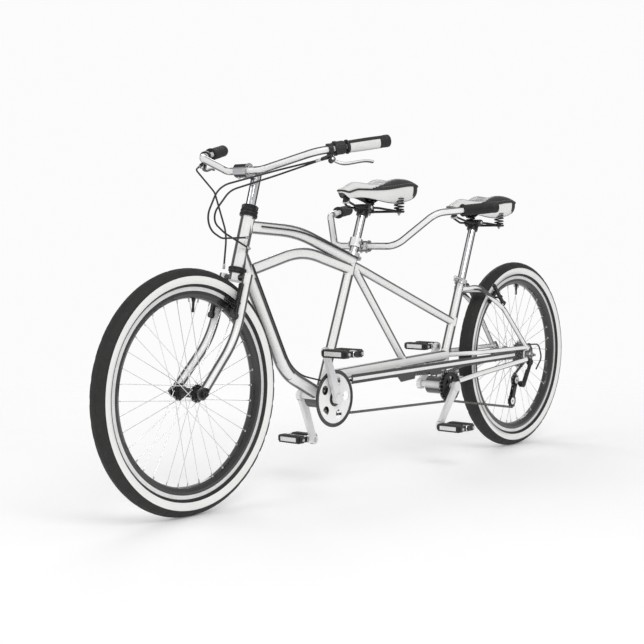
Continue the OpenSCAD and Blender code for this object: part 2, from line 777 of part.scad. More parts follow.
module front_tyre() tyre(front_c);
module front_rim() rim(front_c);
module front_spokes() spoke_set(front_c, front_flange_y, front_flange_r);
module front_hub() {
  core_r = 13;
  color("silver") difference() {
    union() {
      ycyl(front_c, -44, 44, core_r);
      flanges(front_c, front_flange_y, front_flange_r);
      for (y = front_flange_y) ycyl(front_c, y - 5, y + 5, core_r + 4);
    }
    ycyl(front_c, -45, 45, axle_bore);
  }
}
module rear_tyre() tyre(rear_c);
module rear_rim() rim(rear_c);
module rear_spokes() spoke_set(rear_c, rear_flange_y, rear_flange_r);
module rear_hub() {
  color("silver") difference() {
    union() {
      ycyl(rear_c, -44, 24, 16);
      ycyl(rear_c, 24, 58, 13);
      flanges(rear_c, rear_flange_y, rear_flange_r);
      ycyl(rear_c, -59.8, -44, 11);
    }
    ycyl(rear_c, -61, 61, axle_bore);
  }
}

// [y, teeth] of each sprocket
cogs = [[26.6, 24], [31.5, 21], [36.5, 18], [drive_y, cog_teeth], [46.5, 15], [51.5, 14], [56.3, 13]];
module freewheel() {
  color("silver") difference() {
    union() {
      ycyl(rear_c, 25, 58.5, 21);
      for (cog = cogs) sprocket(wheel(rear_c, cog[1]), enter_a(drive_belt, 1), cog[0], 1.8);
    }
    ycyl(rear_c, 20, 62, 13.05);
  }
}

// ---------- cranks ----------
// pedal axis on one side (1 left, -1 right) for a left arm at angle a
function crank_end(bb, a, side) = bb + side * crank_len * heading(a);

// one-piece crank: spindle with both arms, left arm at angle a, right arm opposite
module crank(bb, a) {
  difference() {
    union() {
      ycyl(bb, -64, 64, spindle_r);
      for (s = [1, -1]) {
        y0 = s > 0 ? 63 : -78;
        ycyl(bb, y0, y0 + 15, 17);
        ycyl(crank_end(bb, a, s), y0 + 1, y0 + 14, 14);
        translate([bb.x, y0 + 13.5, bb.z]) rotate([90, -a + (s > 0 ? 0 : 180), 0])
          linear_extrude(12) polygon([[0, -14], [crank_len, -10], [crank_len, 10], [0, 14]]);
      }
    }
    for (s = [1, -1]) ycyl_on(s, crank_end(bb, a, s), 60, 80, 7.02);
  }
}
module captain_crank() color("silver") crank(captain_bb, captain_crank_a);
module stoker_crank() color("silver") crank(stoker_bb, stoker_crank_a);

// five-armed chain ring for wheel i of a belt
module ring(belt, i, y) {
  c = in_plane(belt[i]);
  difference() {
    union() {
      sprocket(belt[i], enter_a(belt, i), y, 2) ycyl(c, y - 3, y + 3, 33);
      ycyl(c, y - 1, y + 1, 20);
      for (k = [0:4]) {
        rod(c + 18 * heading(k * 72) + [0, y, 0], c + 36 * heading(k * 72) + [0, y, 0], 0.99);
        translate(c + [0, y + 0.95, 0]) rotate([90, k * 72 + 9, 0])
          translate([15, -6, 0]) cube([22, 12, 1.9]);
      }
    }
    ycyl(c, y - 6, y + 6, spindle_bore);
  }
}
module captain_timing_ring() color("silver") ring(timing_belt, 0, timing_y);
module stoker_timing_ring() color("silver") ring(timing_belt, 1, timing_y);
module drive_ring() color("silver") ring(drive_belt, 0, drive_y);

// disc outside the captain's ring, with a rolled rim and five round windows
module guard_disc() {
  color("gainsboro") difference() {
    union() {
      ycyl(captain_bb, 57.4, 59, 80);
      translate(captain_bb + [0, 58.2, 0]) rotate([90, 0, 0])
        rotate_extrude($fn = 120) translate([82, 0]) circle(r = 3.2, $fn = 32);
      ycyl(captain_bb, 55.6, 61, 22);
    }
    ycyl(captain_bb, 50, 70, spindle_bore);
    for (k = [0:4]) ycyl(captain_bb + 52 * heading(k * 72 + captain_crank_a + 36), 50, 70, 14);
  }
}

// ---------- pedals ----------
module pedal(bb, a, side) {
  c = crank_end(bb, a, side);
  mid_y = side * 133;
  color("black") difference() {
    union() {
      ycyl(c, mid_y - 49, mid_y + 49, 11);
      for (d = [-1, 1]) {
        // tread block, then end plate
        translate([c.x + d * 30 - 15, mid_y - 45, c.z - 12]) cube([30, 90, 24]);
        translate([c.x - 40, mid_y + d * 44 - 3, c.z - 9]) cube([80, 6, 18]);
      }
    }
    ycyl_on(side, c, 80, 176, 6.55);
  }
}
module captain_left_pedal() pedal(captain_bb, captain_crank_a, 1);
module captain_right_pedal() pedal(captain_bb, captain_crank_a, -1);
module stoker_left_pedal() pedal(stoker_bb, stoker_crank_a, 1);
module stoker_right_pedal() pedal(stoker_bb, stoker_crank_a, -1);

module pedal_spindles(bb, a) {
  color("silver") for (s = [1, -1]) {
    ycyl_on(s, crank_end(bb, a, s), 65, 175, 6.5);
    ycyl_on(s, crank_end(bb, a, s), 78.6, 83.4, 9);
  }
}
module captain_pedal_spindles() pedal_spindles(captain_bb, captain_crank_a);
module stoker_pedal_spindles() pedal_spindles(stoker_bb, stoker_crank_a);

// ---------- derailleur ----------
module derailleur_body() {
  color("dimgray") {
    ycyl(hanger, 62, 80, 4.95);
    difference() {
      union() {
        ycyl(hanger, 73.2, 82, 12);
        rod(hanger + [0, 77.5, 0], cage_pivot + [0, 66, 0], 8);
        ycyl(cage_pivot, 52, 68, 11);
      }
      ycyl(hanger, 60, 90, 5);
      // room for the dropout
      rod(hanger + [0, 61, 0], hanger + [0, 73.15, 0], 30);
    }
  }
}
module derailleur_cage() {
  plate_t = 1.8;
  along = unit(lower_jockey - upper_jockey);
  edge = 9 * [along.z, 0, -along.x];
  corners = [upper_jockey + edge, lower_jockey + edge, lower_jockey - edge, upper_jockey - edge];
  color("dimgray") union() {
    for (y = [drive_y - 6.4, drive_y + 4.6]) {
      for (c = [upper_jockey, lower_jockey]) ycyl(c, y, y + plate_t, 13);
      plate(y + plate_t, plate_t) polygon([for (p = corners) [p.x, p.z]]);
    }
    for (c = [upper_jockey, lower_jockey]) ycyl(c, drive_y - 6, drive_y + 6, 3);
    ycyl(cage_pivot, drive_y + 4.6, 51.9, 6);
    translate(upper_jockey) plate(drive_y + 6.4, plate_t)
      polygon([[4, 8], [4, -8], [-20, -20], [-20, -8]]);
  }
}
module jockey(i) {
  c = in_plane(drive_belt[i]);
  color("black") difference() {
    union() {
      sprocket(drive_belt[i], enter_a(drive_belt, i), drive_y, 2, tip = 1.3)
        ycyl(c, drive_y - 3, drive_y + 3, 9);
      ycyl(c, drive_y - 3, drive_y + 3, 9.5);
    }
    ycyl(c, drive_y - 5, drive_y + 5, 3.06);
  }
}
module upper_jockey_wheel() jockey(2);
module lower_jockey_wheel() jockey(3);

// ---------- seats ----------
module captain_seatpost() color("silver") rod(captain_tube(330), captain_post_top, post_r);
module stoker_seatpost() color("silver") rod(stoker_tube(215), stoker_post_top, post_r);

captain_saddle_c = captain_post_top + [-30, 0, 52];
stoker_saddle_c = stoker_post_top + [4, 0, 54];
saddle_len = 290;
nose_half = 17;
flare_from = 0.22;  // where the saddle starts to widen

// saddle half width, top and underside at u from nose (0) to back (1)
function saddle_w(u) = nose_half
  + (saddle_half - nose_half) * pow(max(0, (u - flare_from) / (1 - flare_from)), 1.35)
    * (u > 0.93 ? 1 - 2.2 * (u - 0.93) : 1)
  - (u < 0.06 ? (0.06 - u) * 120 : 0);
function saddle_top(u) = 34 + 4.8 * cos(360 * u) + 6 * u;
function saddle_under(u) = -14 + 20 * pow(u, 2) + 4 * sin(180 * u);
// section height, -1 to 1, at angle a: fuller above than below
function saddle_round(a) = sin(a) > 0 ? pow(sin(a), 0.55) : -pow(-sin(a), 0.9);

module saddle(c) {
  sections = 18;
  m = 16;
  points = [for (i = [0:sections])
    let (u = i / sections, top = saddle_top(u), under = saddle_under(u))
    each [for (k = [0:m - 1]) let (a = k * 360 / m)
      [saddle_len * (0.5 - u), saddle_w(u) * cos(a),
        (top + under) / 2 + (top - under) / 2 * saddle_round(a)]]];
  color("whitesmoke") translate(c) loft(points, sections, m);
}
module captain_saddle() saddle(captain_saddle_c);
module stoker_saddle() saddle(stoker_saddle_c);

// coil spring of wire radius wire_r, standing on c
module coil(c, coil_r, wire_r, h, turns) {
  n = 12 * turns;
  m = 6;
  points = [for (i = [0:n]) let (a = i * 30) each [for (k = [0:m - 1])
    let (b = k * 360 / m, r = coil_r + wire_r * cos(b))
    c + [r * cos(a), r * sin(a), h * i / n + wire_r * sin(b)]]];
  loft(points, n, m);
}
// clamp, rails, rear crossbar and springs under the saddle centred at c
module saddle_frame(post, c, dir) {
  rear = c + [-78, 0, -51];
  spring_y = 58;
  difference() {
    union() {
      translate(post) rotate([0, lean(dir), 0])
        translate([0, 0, -16]) cylinder(r = 18, h = 22, $fn = 48);
      ycyl(post + [0, 0, 11], -28, 28, 11);
    }
    translate(post) rotate([0, lean(dir), 0])
      translate([0, 0, -30]) cylinder(r = post_r + 0.02, h = 30.03, $fn = 48);
  }
  both_sides() bent([c + [112, 9, -25], post + [50, 20, 11], post + [-52, 20, 11],
    rear + [0, spring_y, 0]], [40, 30], 3.5);
  rod(c + [112, -12, -25], c + [112, 12, -25], 5);
  rod(rear + [0, -66, 0], rear + [0, 66, 0], 4);
  for (s = [-1, 1]) {
    translate(rear + [0, s * spring_y, -2]) cylinder(r = 17, h = 3, $fn = 32);
    coil(rear + [0, s * spring_y, 4.5], coil_r = 13.5, wire_r = 2.3, h = 34, turns = 4);
  }
}
module captain_saddle_frame() {
  color("black") saddle_frame(captain_post_top, captain_saddle_c, captain_dir);
}
module stoker_saddle_frame() {
  color("black") saddle_frame(stoker_post_top, stoker_saddle_c, stoker_dir);
}

frame();
headset_cups();
cartridge_bearings();
eccentric_insert();
bottom_bracket_cups();
chain_guard();
seat_collars();
stoker_seat_lever();
timing_chain();
drive_chain();
rear_axle();
frame_cables();
fork();
headset_races();
stem();
captain_handlebar();
captain_grips();
lever_perches();
front_axle();
bar_cables();
left_brake_lever();
right_brake_lever();
twist_shifter();
front_left_brake_arm();
front_right_brake_arm();
rear_left_brake_arm();
rear_right_brake_arm();
front_tyre();
front_rim();
front_spokes();
front_hub();
rear_tyre();
rear_rim();
rear_spokes();
rear_hub();
freewheel();
captain_crank();
captain_timing_ring();
guard_disc();
stoker_crank();
stoker_timing_ring();
drive_ring();
captain_left_pedal();
captain_right_pedal();
stoker_left_pedal();
stoker_right_pedal();
captain_pedal_spindles();
stoker_pedal_spindles();
derailleur_body();
derailleur_cage();
upper_jockey_wheel();
lower_jockey_wheel();
captain_seatpost();
stoker_seatpost();
captain_saddle();
stoker_saddle();
captain_saddle_frame();
stoker_saddle_frame();
stoker_bar();
stoker_grips();
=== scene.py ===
import json
import math
import bpy
from mathutils import Vector, Matrix


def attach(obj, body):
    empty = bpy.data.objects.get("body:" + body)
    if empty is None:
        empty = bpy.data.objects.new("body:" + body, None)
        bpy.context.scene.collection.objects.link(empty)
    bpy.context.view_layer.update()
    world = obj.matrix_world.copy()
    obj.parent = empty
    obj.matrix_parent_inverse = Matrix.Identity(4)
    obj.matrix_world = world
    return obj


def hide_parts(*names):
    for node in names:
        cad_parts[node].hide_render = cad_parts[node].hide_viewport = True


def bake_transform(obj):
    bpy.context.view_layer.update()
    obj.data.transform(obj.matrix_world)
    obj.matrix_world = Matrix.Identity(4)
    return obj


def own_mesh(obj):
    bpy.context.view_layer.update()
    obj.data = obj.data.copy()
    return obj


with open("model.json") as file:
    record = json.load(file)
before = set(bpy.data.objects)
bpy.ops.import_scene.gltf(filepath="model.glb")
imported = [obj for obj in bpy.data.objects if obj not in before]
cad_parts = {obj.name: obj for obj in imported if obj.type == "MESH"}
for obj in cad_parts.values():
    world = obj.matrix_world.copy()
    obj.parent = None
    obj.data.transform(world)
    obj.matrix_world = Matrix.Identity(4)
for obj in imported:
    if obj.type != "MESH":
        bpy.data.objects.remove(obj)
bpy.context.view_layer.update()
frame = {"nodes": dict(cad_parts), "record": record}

V = Vector
NODES = frame["nodes"]
coll = bpy.context.scene.collection

# ------------------------------------------------------------------ constants (metres, row frame)
WB, WR, TR = 1.640, 0.330, 0.027


def sin(d):
    return math.sin(math.radians(d))


def cos(d):
    return math.cos(math.radians(d))


HA, RAKE = 73.0, 0.088
AXF, AXR = V((WB / 2, 0, WR)), V((-WB / 2, 0, WR))
UP = V((-cos(HA), 0, sin(HA)))
FW = V((sin(HA), 0, cos(HA)))
ST0 = AXF - RAKE * FW


def st(s, q=0.0, y=0.0):
    return ST0 + s / 1000 * UP + q / 1000 * FW + V((0, y / 1000, 0))


PITCH = 0.0127


def pr(n):
    return PITCH / 2 / sin(180.0 / n)


BB1 = V((0.275, 0, 0.270))
BB2 = V((0.275 - math.sqrt((49 * PITCH) ** 2 - 0.015 ** 2), 0, 0.255))
SEAT1, SEAT2 = V((-0.3529, 0, 0.9357)), V((-0.36, 0, 0.933))
T1P, T2P = (0.824 - 0.270) / 0.9357, (0.786 - 0.255) / 0.933
T1, T2 = 0.455, 0.372
CA = 68.0
SA = CA - 8 * 15.0
CL = 0.152
YT, YD = 0.051, 0.0415


def sp1(t, y=0.0):
    return BB1 + t * SEAT1 + V((0, y, 0))


def sp2(t, y=0.0):
    return BB2 + t * SEAT2 + V((0, y, 0))


def mir(p):
    return V((p[0], -p[1], p[2]))


CBC = st(632, 55)
CB = [CBC, CBC + V((-0.004, 0.062, 0)), V((CBC.x - 0.054, 0.215, 0.971)), V((CBC.x - 0.244, 0.312, 1.006))]
E1 = (CB[3] - CB[2]).normalized()
E2 = E1.cross(V((0.1, 0.28, -0.95))).cross(E1).normalized()
E3 = E1.cross(E2)


def cg(a, b=0.0, c=0.0):
    return CB[3] + E1 * (a / 1000) + E2 * (b / 1000) + E3 * (c / 1000)


SBC = sp1(0.488) + V((-0.042, 0, -0.009))
SB = [SBC, SBC + V((-0.004, 0.118, 0)), V((SBC.x - 0.090, 0.207, SBC.z + 0.101)), V((SBC.x - 0.290, 0.292, SBC.z + 0.121))]
SE1 = (SB[3] - SB[2]).normalized()
SO1 = sp1(T1P) + V((-0.030, 0, 0.052))
SO2 = sp2(T2P) + V((0.004, 0, 0.054))


def arc_path(P, R, step=0.006):
    """polyline through P with rounded corners of radii R (inner points)"""
    P = [V(p) for p in P]
    out = [P[0]]
    for i in range(1, len(P) - 1):
        d1, d2 = (P[i] - P[i - 1]).normalized(), (P[i + 1] - P[i]).normalized()
        ang = d1.angle(d2)
        t = R[i - 1] * math.tan(ang / 2)
        a = P[i] - d1 * t
        m = (d2 - d1 * d1.dot(d2)).normalized()
        c = a + m * R[i - 1]
        n = max(2, int(R[i - 1] * ang / step))
        for k in range(n + 1):
            q = ang * k / n
            out.append(c - m * R[i - 1] * math.cos(q) + d1 * R[i - 1] * math.sin(q))
    out.append(P[-1])
    return out


# ------------------------------------------------------------------ materials
class N:
    """a short way to write a node tree"""

    def __init__(self, name):
        self.m = bpy.data.materials.new(name)
        self.m.use_nodes = True
        self.t = self.m.node_tree
        self.t.nodes.clear()
        self.out = self.t.nodes.new("ShaderNodeOutputMaterial")
        self.b = self.t.nodes.new("ShaderNodeBsdfPrincipled")
        self.t.links.new(self.b.outputs[0], self.out.inputs[0])
        self.tc = self.t.nodes.new("ShaderNodeTexCoord").outputs["Object"]

    def link(self, a, b):
        self.t.links.new(a, b)

    def new(self, kind, **k):
        n = self.t.nodes.new(kind)
        for a, b in k.items():
            setattr(n, a, b)
        return n

    def noise(self, scale, detail=4.0, rough=0.55, vec=None):
        n = self.new("ShaderNodeTexNoise")
        n.inputs["Scale"].default_value = scale
        n.inputs["Detail"].default_value = detail
        n.inputs["Roughness"].default_value = rough
        self.link(vec or self.tc, n.inputs["Vector"])
        return n.outputs["Fac"]

    def ramp(self, fac, stops, interp="LINEAR"):
        n = self.new("ShaderNodeValToRGB")
        n.color_ramp.interpolation = interp
        while len(n.color_ramp.elements) < len(stops):
            n.color_ramp.elements.new(0.5)
        for e, (p, c) in zip(n.color_ramp.elements, stops):
            e.position = p
            e.color = (c, c, c, 1) if isinstance(c, (int, float)) else (*c, 1)
        self.link(fac, n.inputs[0])
        return n.outputs[0]

    def mix(self, fac, a, b, mode="MIX"):
        n = self.new("ShaderNodeMix", data_type="RGBA", blend_type=mode)
        for i, v in ((0, fac), (6, a), (7, b)):
            if hasattr(v, "is_linked"):
                self.link(v, n.inputs[i])
            elif i == 0:
                n.inputs[0].default_value = v
            else:
                n.inputs[i].default_value = (*v, 1)
        return n.outputs[2]

    def math(self, op, a, b=None, clamp=False):
        n = self.new("ShaderNodeMath", operation=op)
        n.use_clamp = clamp
        for i, v in enumerate((a, b)):
            if v is None:
                continue
            if hasattr(v, "is_linked"):
                self.link(v, n.inputs[i])
            else:
                n.inputs[i].default_value = v
        return n.outputs[0]

    def bump(self, height, strength, dist=0.001, normal=None):
        n = self.new("ShaderNodeBump")
        n.inputs["Strength"].default_value = strength
        n.inputs["Distance"].default_value = dist
        self.link(height, n.inputs["Height"])
        if normal is not None:
            self.link(normal, n.inputs["Normal"])
        return n.outputs[0]

    def set(self, key, v):
        if hasattr(v, "is_linked"):
            self.link(v, self.b.inputs[key])
        else:
            self.b.inputs[key].default_value = v


def mul(c, k):
    return tuple(min(1.0, x * k) for x in c)


def across_tube(n, runs):
    """how far the surface turns away from the viewer, measured across the tube it belongs to. runs: (x0, z0, x1, z1, reach) of each straight length"""
    t = None
    for run in runs:
        if len(run) == 2:                             # (span of y, direction)
            (y0, y1), d = run
            dot = n.new("ShaderNodeSeparateXYZ")
            n.link(n.tc, dot.inputs[0])
            cmp_ = n.new("ShaderNodeMath", operation="COMPARE")
            n.link(dot.outputs[1], cmp_.inputs[0])
            cmp_.inputs[1].default_value = (y0 + y1) / 2
            cmp_.inputs[2].default_value = abs(y1 - y0) / 2 + 0.0003
            mx = n.new("ShaderNodeMix", data_type="VECTOR")
            n.link(cmp_.outputs[0], mx.inputs[0])
            if t is not None:
                n.link(t, mx.inputs[4])
            else:
                mx.inputs[4].default_value = (0, 1, 0)
            mx.inputs[5].default_value = tuple(d)
            t = mx.outputs[1]
            continue
        x0, z0, x1, z1, reach = run
        L = math.hypot(x1 - x0, z1 - z0)
        ux, uz = (x1 - x0) / L, (z1 - z0) / L
        mask = None
        for d, mid, eps in (((ux, 0, uz), x0 * ux + z0 * uz + L / 2, L / 2 + 0.002), ((-uz, 0, ux), z0 * ux - x0 * uz, reach)):
            dot = n.new("ShaderNodeVectorMath", operation="DOT_PRODUCT")
            n.link(n.tc, dot.inputs[0])
            dot.inputs[1].default_value = d
            cmp_ = n.new("ShaderNodeMath", operation="COMPARE")
            n.link(dot.outputs["Value"], cmp_.inputs[0])
            cmp_.inputs[1].default_value = mid
            cmp_.inputs[2].default_value = eps
            mask = cmp_.outputs[0] if mask is None else n.math("MULTIPLY", mask, cmp_.outputs[0])
        mx = n.new("ShaderNodeMix", data_type="VECTOR")
        n.link(mask, mx.inputs[0])
        if t is not None:
            n.link(t, mx.inputs[4])
        else:
            mx.inputs[4].default_value = (0, 0, 0)
        mx.inputs[5].default_value = (ux, 0, uz)
        t = mx.outputs[1]
    geo = n.new("ShaderNodeNewGeometry")
    turn = n.new("ShaderNodeVectorTransform", vector_type="VECTOR", convert_from="OBJECT", convert_to="WORLD")
    n.link(t, turn.inputs[0])
    tv = n.new("ShaderNodeVectorMath", operation="DOT_PRODUCT")
    n.link(turn.outputs[0], tv.inputs[0])
    n.link(geo.outputs["Incoming"], tv.inputs[1])
    k = n.math("SQRT", n.math("MAXIMUM", n.math("SUBTRACT", 1.0, n.math("MULTIPLY", tv.outputs["Value"], tv.outputs["Value"])), 0.04))
    nv = n.new("ShaderNodeVectorMath", operation="DOT_PRODUCT")
    n.link(geo.outputs["Normal"], nv.inputs[0])
    n.link(geo.outputs["Incoming"], nv.inputs[1])
    return n.math("SUBTRACT", 1.0, n.math("DIVIDE", n.math("ABSOLUTE", nv.outputs["Value"]), k), True)


def chop(P, R, reach, seg=0.05):
    """the bent centre line P as short straight runs"""
    Q, runs = arc_path(P, R, 0.01), []
    a = Q[0]
    for q in Q[1:]:
        if (q - a).length > seg or q is Q[-1]:
            if (q - a).length > 0.004:
                runs.append((a.x, a.z, q.x, q.z, reach))
            a = q
    return runs


def spans(P, R):
    """a bar's bent half, and its mirror image, as spans of y with the bar's direction in each"""
    Q, out = arc_path(P, R, 0.012), []
    a = Q[0]
    for q in Q[1:]:
        if (q - a).length > 0.018 or q is Q[-1]:
            d = (q - a).normalized()
            if abs(q.y - a.y) > 0.0005:
                out.append(((a.y, q.y), (d.x, d.y, d.z)))
                out.append(((-a.y, -q.y), (d.x, -d.y, d.z)))
            a = q
    return out


def mat_basic(name, base, rough, metal=0.0, coat=0.0, var=0.12, scale=18, bump=0.08, bump_scale=900, painted_edge_shade=0.0,
              painted_edge_shade_col=(0.01, 0.01, 0.012), wear=0.0, wear_col=(0.5, 0.5, 0.5), dust=0.0, rvar=0.12, spec=0.5, fillet=0.0, c0=0.36, c1=0.74, runs=()):
    n = N(name)
    big = n.noise(scale, 5)
    col = n.mix(n.ramp(big, [(0.3, 0.0), (0.7, 1.0)]), mul(base, 1 - var), mul(base, 1 + var * 0.5))
    fine = n.noise(bump_scale, 3)
    if wear:
        bev = n.new("ShaderNodeBevel", samples=4)
        bev.inputs["Radius"].default_value = 0.0012
        geo = n.new("ShaderNodeNewGeometry")
        dot = n.new("ShaderNodeVectorMath", operation="DOT_PRODUCT")
        n.link(bev.outputs[0], dot.inputs[0])
        n.link(geo.outputs["Normal"], dot.inputs[1])
        edge = n.math("SUBTRACT", 1.0, dot.outputs["Value"])
        edge = n.math("MULTIPLY", edge, n.math("MULTIPLY", n.noise(160, 6, 0.7), 14.0), True)
        fac = n.ramp(edge, [(0.35, 0.0), (0.75, wear)])
        col = n.mix(fac, col, wear_col)
    if dust:
        up = n.new("ShaderNodeNewGeometry").outputs["Normal"]
        sep = n.new("ShaderNodeSeparateXYZ")
        n.link(up, sep.inputs[0])
        d = n.math("MULTIPLY", n.ramp(sep.outputs[2], [(0.1, 0.0), (0.9, dust)]), n.noise(45, 6, 0.7))
        col = n.mix(d, col, (0.42, 0.40, 0.37))
    # painted shade: the colour darkens to a near-black where the surface turns away from the camera, as a dark outline
    if painted_edge_shade:
        lw = n.new("ShaderNodeLayerWeight")
        lw.inputs["Blend"].default_value = 0.5
        face = lw.outputs["Facing"]
        if runs:
            face = across_tube(n, runs)
        f = n.ramp(face, [(c0, 0.0), ((c0 + c1) / 2, painted_edge_shade * 0.42), (c1, painted_edge_shade)])
        col = n.mix(f, col, painted_edge_shade_col)
    n.set("Base Color", col)
    n.set("Metallic", metal)
    r = n.ramp(n.noise(scale * 2.3, 6, 0.65), [(0.25, max(0.02, rough - rvar * rough)), (0.75, min(1.0, rough + rvar * 1.6 * rough + 0.01))])
    n.set("Roughness", r)
    n.set("Coat Weight", coat)
    n.set("Coat Roughness", 0.05)
    n.set("Specular IOR Level", spec)
    if fillet:
        bv = n.new("ShaderNodeBevel", samples=4)
        bv.inputs["Radius"].default_value = fillet
        n.set("Normal", n.bump(fine, bump, 0.0004, normal=bv.outputs[0]))
        if painted_edge_shade:
            n.link(bv.outputs[0], lw.inputs["Normal"])
    elif bump:
        n.set("Normal", n.bump(fine, bump, 0.0004))
    return n.m


def radial(n, centre):
    """distance from a wheel's axis, in metres, of the shading point at rest"""
    sep = n.new("ShaderNodeSeparateXYZ")
    n.link(n.tc, sep.inputs[0])
    dx = n.math("SUBTRACT", sep.outputs[0], centre[0])
    dz = n.math("SUBTRACT", sep.outputs[2], centre[2])
    return n.math("SQRT", n.math("ADD", n.math("MULTIPLY", dx, dx), n.math("MULTIPLY", dz, dz))), dx, dz, sep.outputs[1]


M = {}
P_TOP = [st(489), st(489) + V((-0.215, 0, -0.012)), sp1(0.432)]
P_LOW = [st(390) + V((-0.032, 0, -0.030)), V((0.355, 0, 0.706)), sp1(0.404)]
P_DOWN = [st(410), V((0.428, 0, 0.352)), BB1 + V((0.002, 0, 0.008))]
P_REAR = [sp1(0.420), V((0.060, 0, 0.640)), sp2(0.222)]
P_DIAG = [sp1(0.425), V((-0.149, 0, 0.350))]
P_BOOM = [sp1(0.062), sp2(0.104)]
P_SS = [sp2(0.340, 0.012), V((-0.522, 0.046, 0.580)), V((-0.665, 0.056, 0.500)), V((AXR.x + 0.017, 0.0705, 0.352))]
P_MS = [sp2(0.104), V((-0.492, 0.062, 0.357)), V((AXR.x + 0.012, 0.070, 0.357))]
P_CS = [BB2 + V((-0.004, 0.020, 0)), V((-0.415, 0.026, 0.262)), V((-0.520, 0.050, 0.282)), V((AXR.x + 0.025, 0.0705, 0.314))]
RUNS = (chop(P_SS, [0.06, 0.06], 0.010, 0.09) + chop(P_MS, [0.08], 0.010, 0.12) + chop(P_CS, [0.08, 0.12], 0.010, 0.12)
        + chop(P_DOWN, [0.150], 0.024, 0.055) + chop(P_DIAG, [], 0.014, 0.3) + chop(P_REAR, [0.260], 0.015, 0.10) + chop(P_BOOM, [], 0.022, 0.8)
        + chop(P_LOW, [0.300], 0.019, 0.055) + chop(P_TOP, [0.520], 0.020, 0.055))
# white lacquer over steel: a faint orange peel under the clear coat, with painted shade darkening it where the tube
# turns away
M["enamel"] = mat_basic("white_enamel", (0.93, 0.93, 0.92), 0.24, coat=0.7, var=0.03, scale=7, bump=0.012, bump_scale=260, painted_edge_shade=0.97,
                        wear=0.0, dust=0.05, fillet=0.0, c0=0.16, c1=0.27, runs=RUNS)
# the white bars get the same painted shade where the tube turns away
M["stoker_bar_white"] = mat_basic("stoker_bar_white", (0.93, 0.93, 0.93), 0.20, coat=0.6, var=0.03, scale=9, bump=0.012, bump_scale=300, painted_edge_shade=0.97, dust=0.04,
                                c0=0.16, c1=0.27, runs=spans([SB[0] + V((0, 0.002, 0)), SB[1], SB[2], SB[3]], [0.060, 0.080]))
M["bar_enamel"] = mat_basic("bar_white", (0.93, 0.93, 0.93), 0.20, coat=0.6, var=0.03, scale=9, bump=0.012, bump_scale=300, painted_edge_shade=0.97, dust=0.04, c0=0.16, c1=0.27,
                            runs=spans([CB[0] + V((0, 0.002, 0)), CB[1], CB[2], CB[3]], [0.090, 0.070]))
M["black_enamel"] = mat_basic("black_enamel", (0.012, 0.012, 0.013), 0.22, coat=0.8, var=0.3, scale=12, bump=0.05, bump_scale=500, wear=0.5,
                              wear_col=(0.25, 0.25, 0.25), dust=0.12)
# painted shade also darkens the chrome, steel, alloy, pale grip, levers and cranks where they turn away from the camera
M["chrome"] = mat_basic("bright_chrome", (0.86, 0.87, 0.89), 0.09, metal=1.0, var=0.06, scale=30, bump=0.02, bump_scale=900, painted_edge_shade=0.96, rvar=0.5, c0=0.24, c1=0.40)
M["steel"] = mat_basic("zinc_steel", (0.62, 0.62, 0.63), 0.32, metal=1.0, var=0.15, scale=60, bump=0.10, bump_scale=1200, painted_edge_shade=0.5, rvar=0.4)
M["spoke"] = mat_basic("spoke_steel", (0.86, 0.86, 0.87), 0.22, metal=1.0, var=0.10, scale=60, bump=0.05, bump_scale=1200, rvar=0.4)
M["alloy"] = mat_basic("satin_alloy", (0.80, 0.80, 0.82), 0.26, metal=1.0, var=0.10, scale=50, bump=0.12, bump_scale=1500, painted_edge_shade=0.6, rvar=0.4)
M["black_alloy"] = mat_basic("black_anodised", (0.02, 0.02, 0.022), 0.36, metal=0.35, var=0.3, scale=40, bump=0.12, bump_scale=1300, wear=0.7,
                             wear_col=(0.35, 0.35, 0.36), dust=0.15)
M["black_steel"] = mat_basic("black_oxide", (0.015, 0.015, 0.016), 0.34, metal=0.4, var=0.3, scale=50, bump=0.12, bump_scale=1200, wear=0.6,
                             wear_col=(0.30, 0.30, 0.30), dust=0.12)
M["chain_steel"] = mat_basic("oiled_chain", (0.085, 0.080, 0.074), 0.33, metal=0.8, var=0.45, scale=140, bump=0.15, bump_scale=1500, rvar=0.5)
M["roller_steel"] = mat_basic("chain_rollers", (0.55, 0.54, 0.52), 0.28, metal=1.0, var=0.25, scale=160, bump=0.1, bump_scale=1500, rvar=0.5)
M["cable_black"] = mat_basic("cable_housing", (0.012, 0.012, 0.013), 0.38, var=0.2, scale=60, bump=0.10, bump_scale=1500, spec=0.5)
M["black_plastic"] = mat_basic("moulded_black", (0.018, 0.018, 0.019), 0.42, var=0.25, scale=50, bump=0.22, bump_scale=2200, dust=0.10)
M["grip_rubber"] = mat_basic("grip_rubber", (0.014, 0.014, 0.014), 0.62, var=0.35, scale=70, bump=0.35, bump_scale=2600, dust=0.12)
M["grip_pale"] = mat_basic("grip_pale_rubber", (0.80, 0.80, 0.79), 0.6, var=0.08, scale=70, bump=0.35, bump_scale=2600, painted_edge_shade=0.6)
M["pedal_rubber"] = mat_basic("pedal_rubber", (0.016, 0.016, 0.016), 0.66, var=0.4, scale=80, bump=0.4, bump_scale=2400, dust=0.3)
M["pale_stripe"] = mat_basic("pale_stripe", (0.90, 0.90, 0.89), 0.3, coat=0.4, var=0.05, scale=20, bump=0.03, bump_scale=600)
M["lever_alloy"] = mat_basic("polished_lever", (0.86, 0.86, 0.87), 0.30, metal=0.35, coat=0.0, var=0.04, scale=30, bump=0.0, painted_edge_shade=0.96,
                            rvar=0.4, c0=0.24, c1=0.42)
M["crank_alloy"] = mat_basic("polished_crank", (0.86, 0.86, 0.87), 0.34, metal=0.30, coat=0.0, var=0.04, scale=20, bump=0.0, painted_edge_shade=0.96,
                             rvar=0.4, c0=0.50, c1=0.66)
M["brass"] = mat_basic("nickel_nipple", (0.70, 0.68, 0.62), 0.28, metal=1.0, var=0.2, scale=120, bump=0.06, bump_scale=1500)


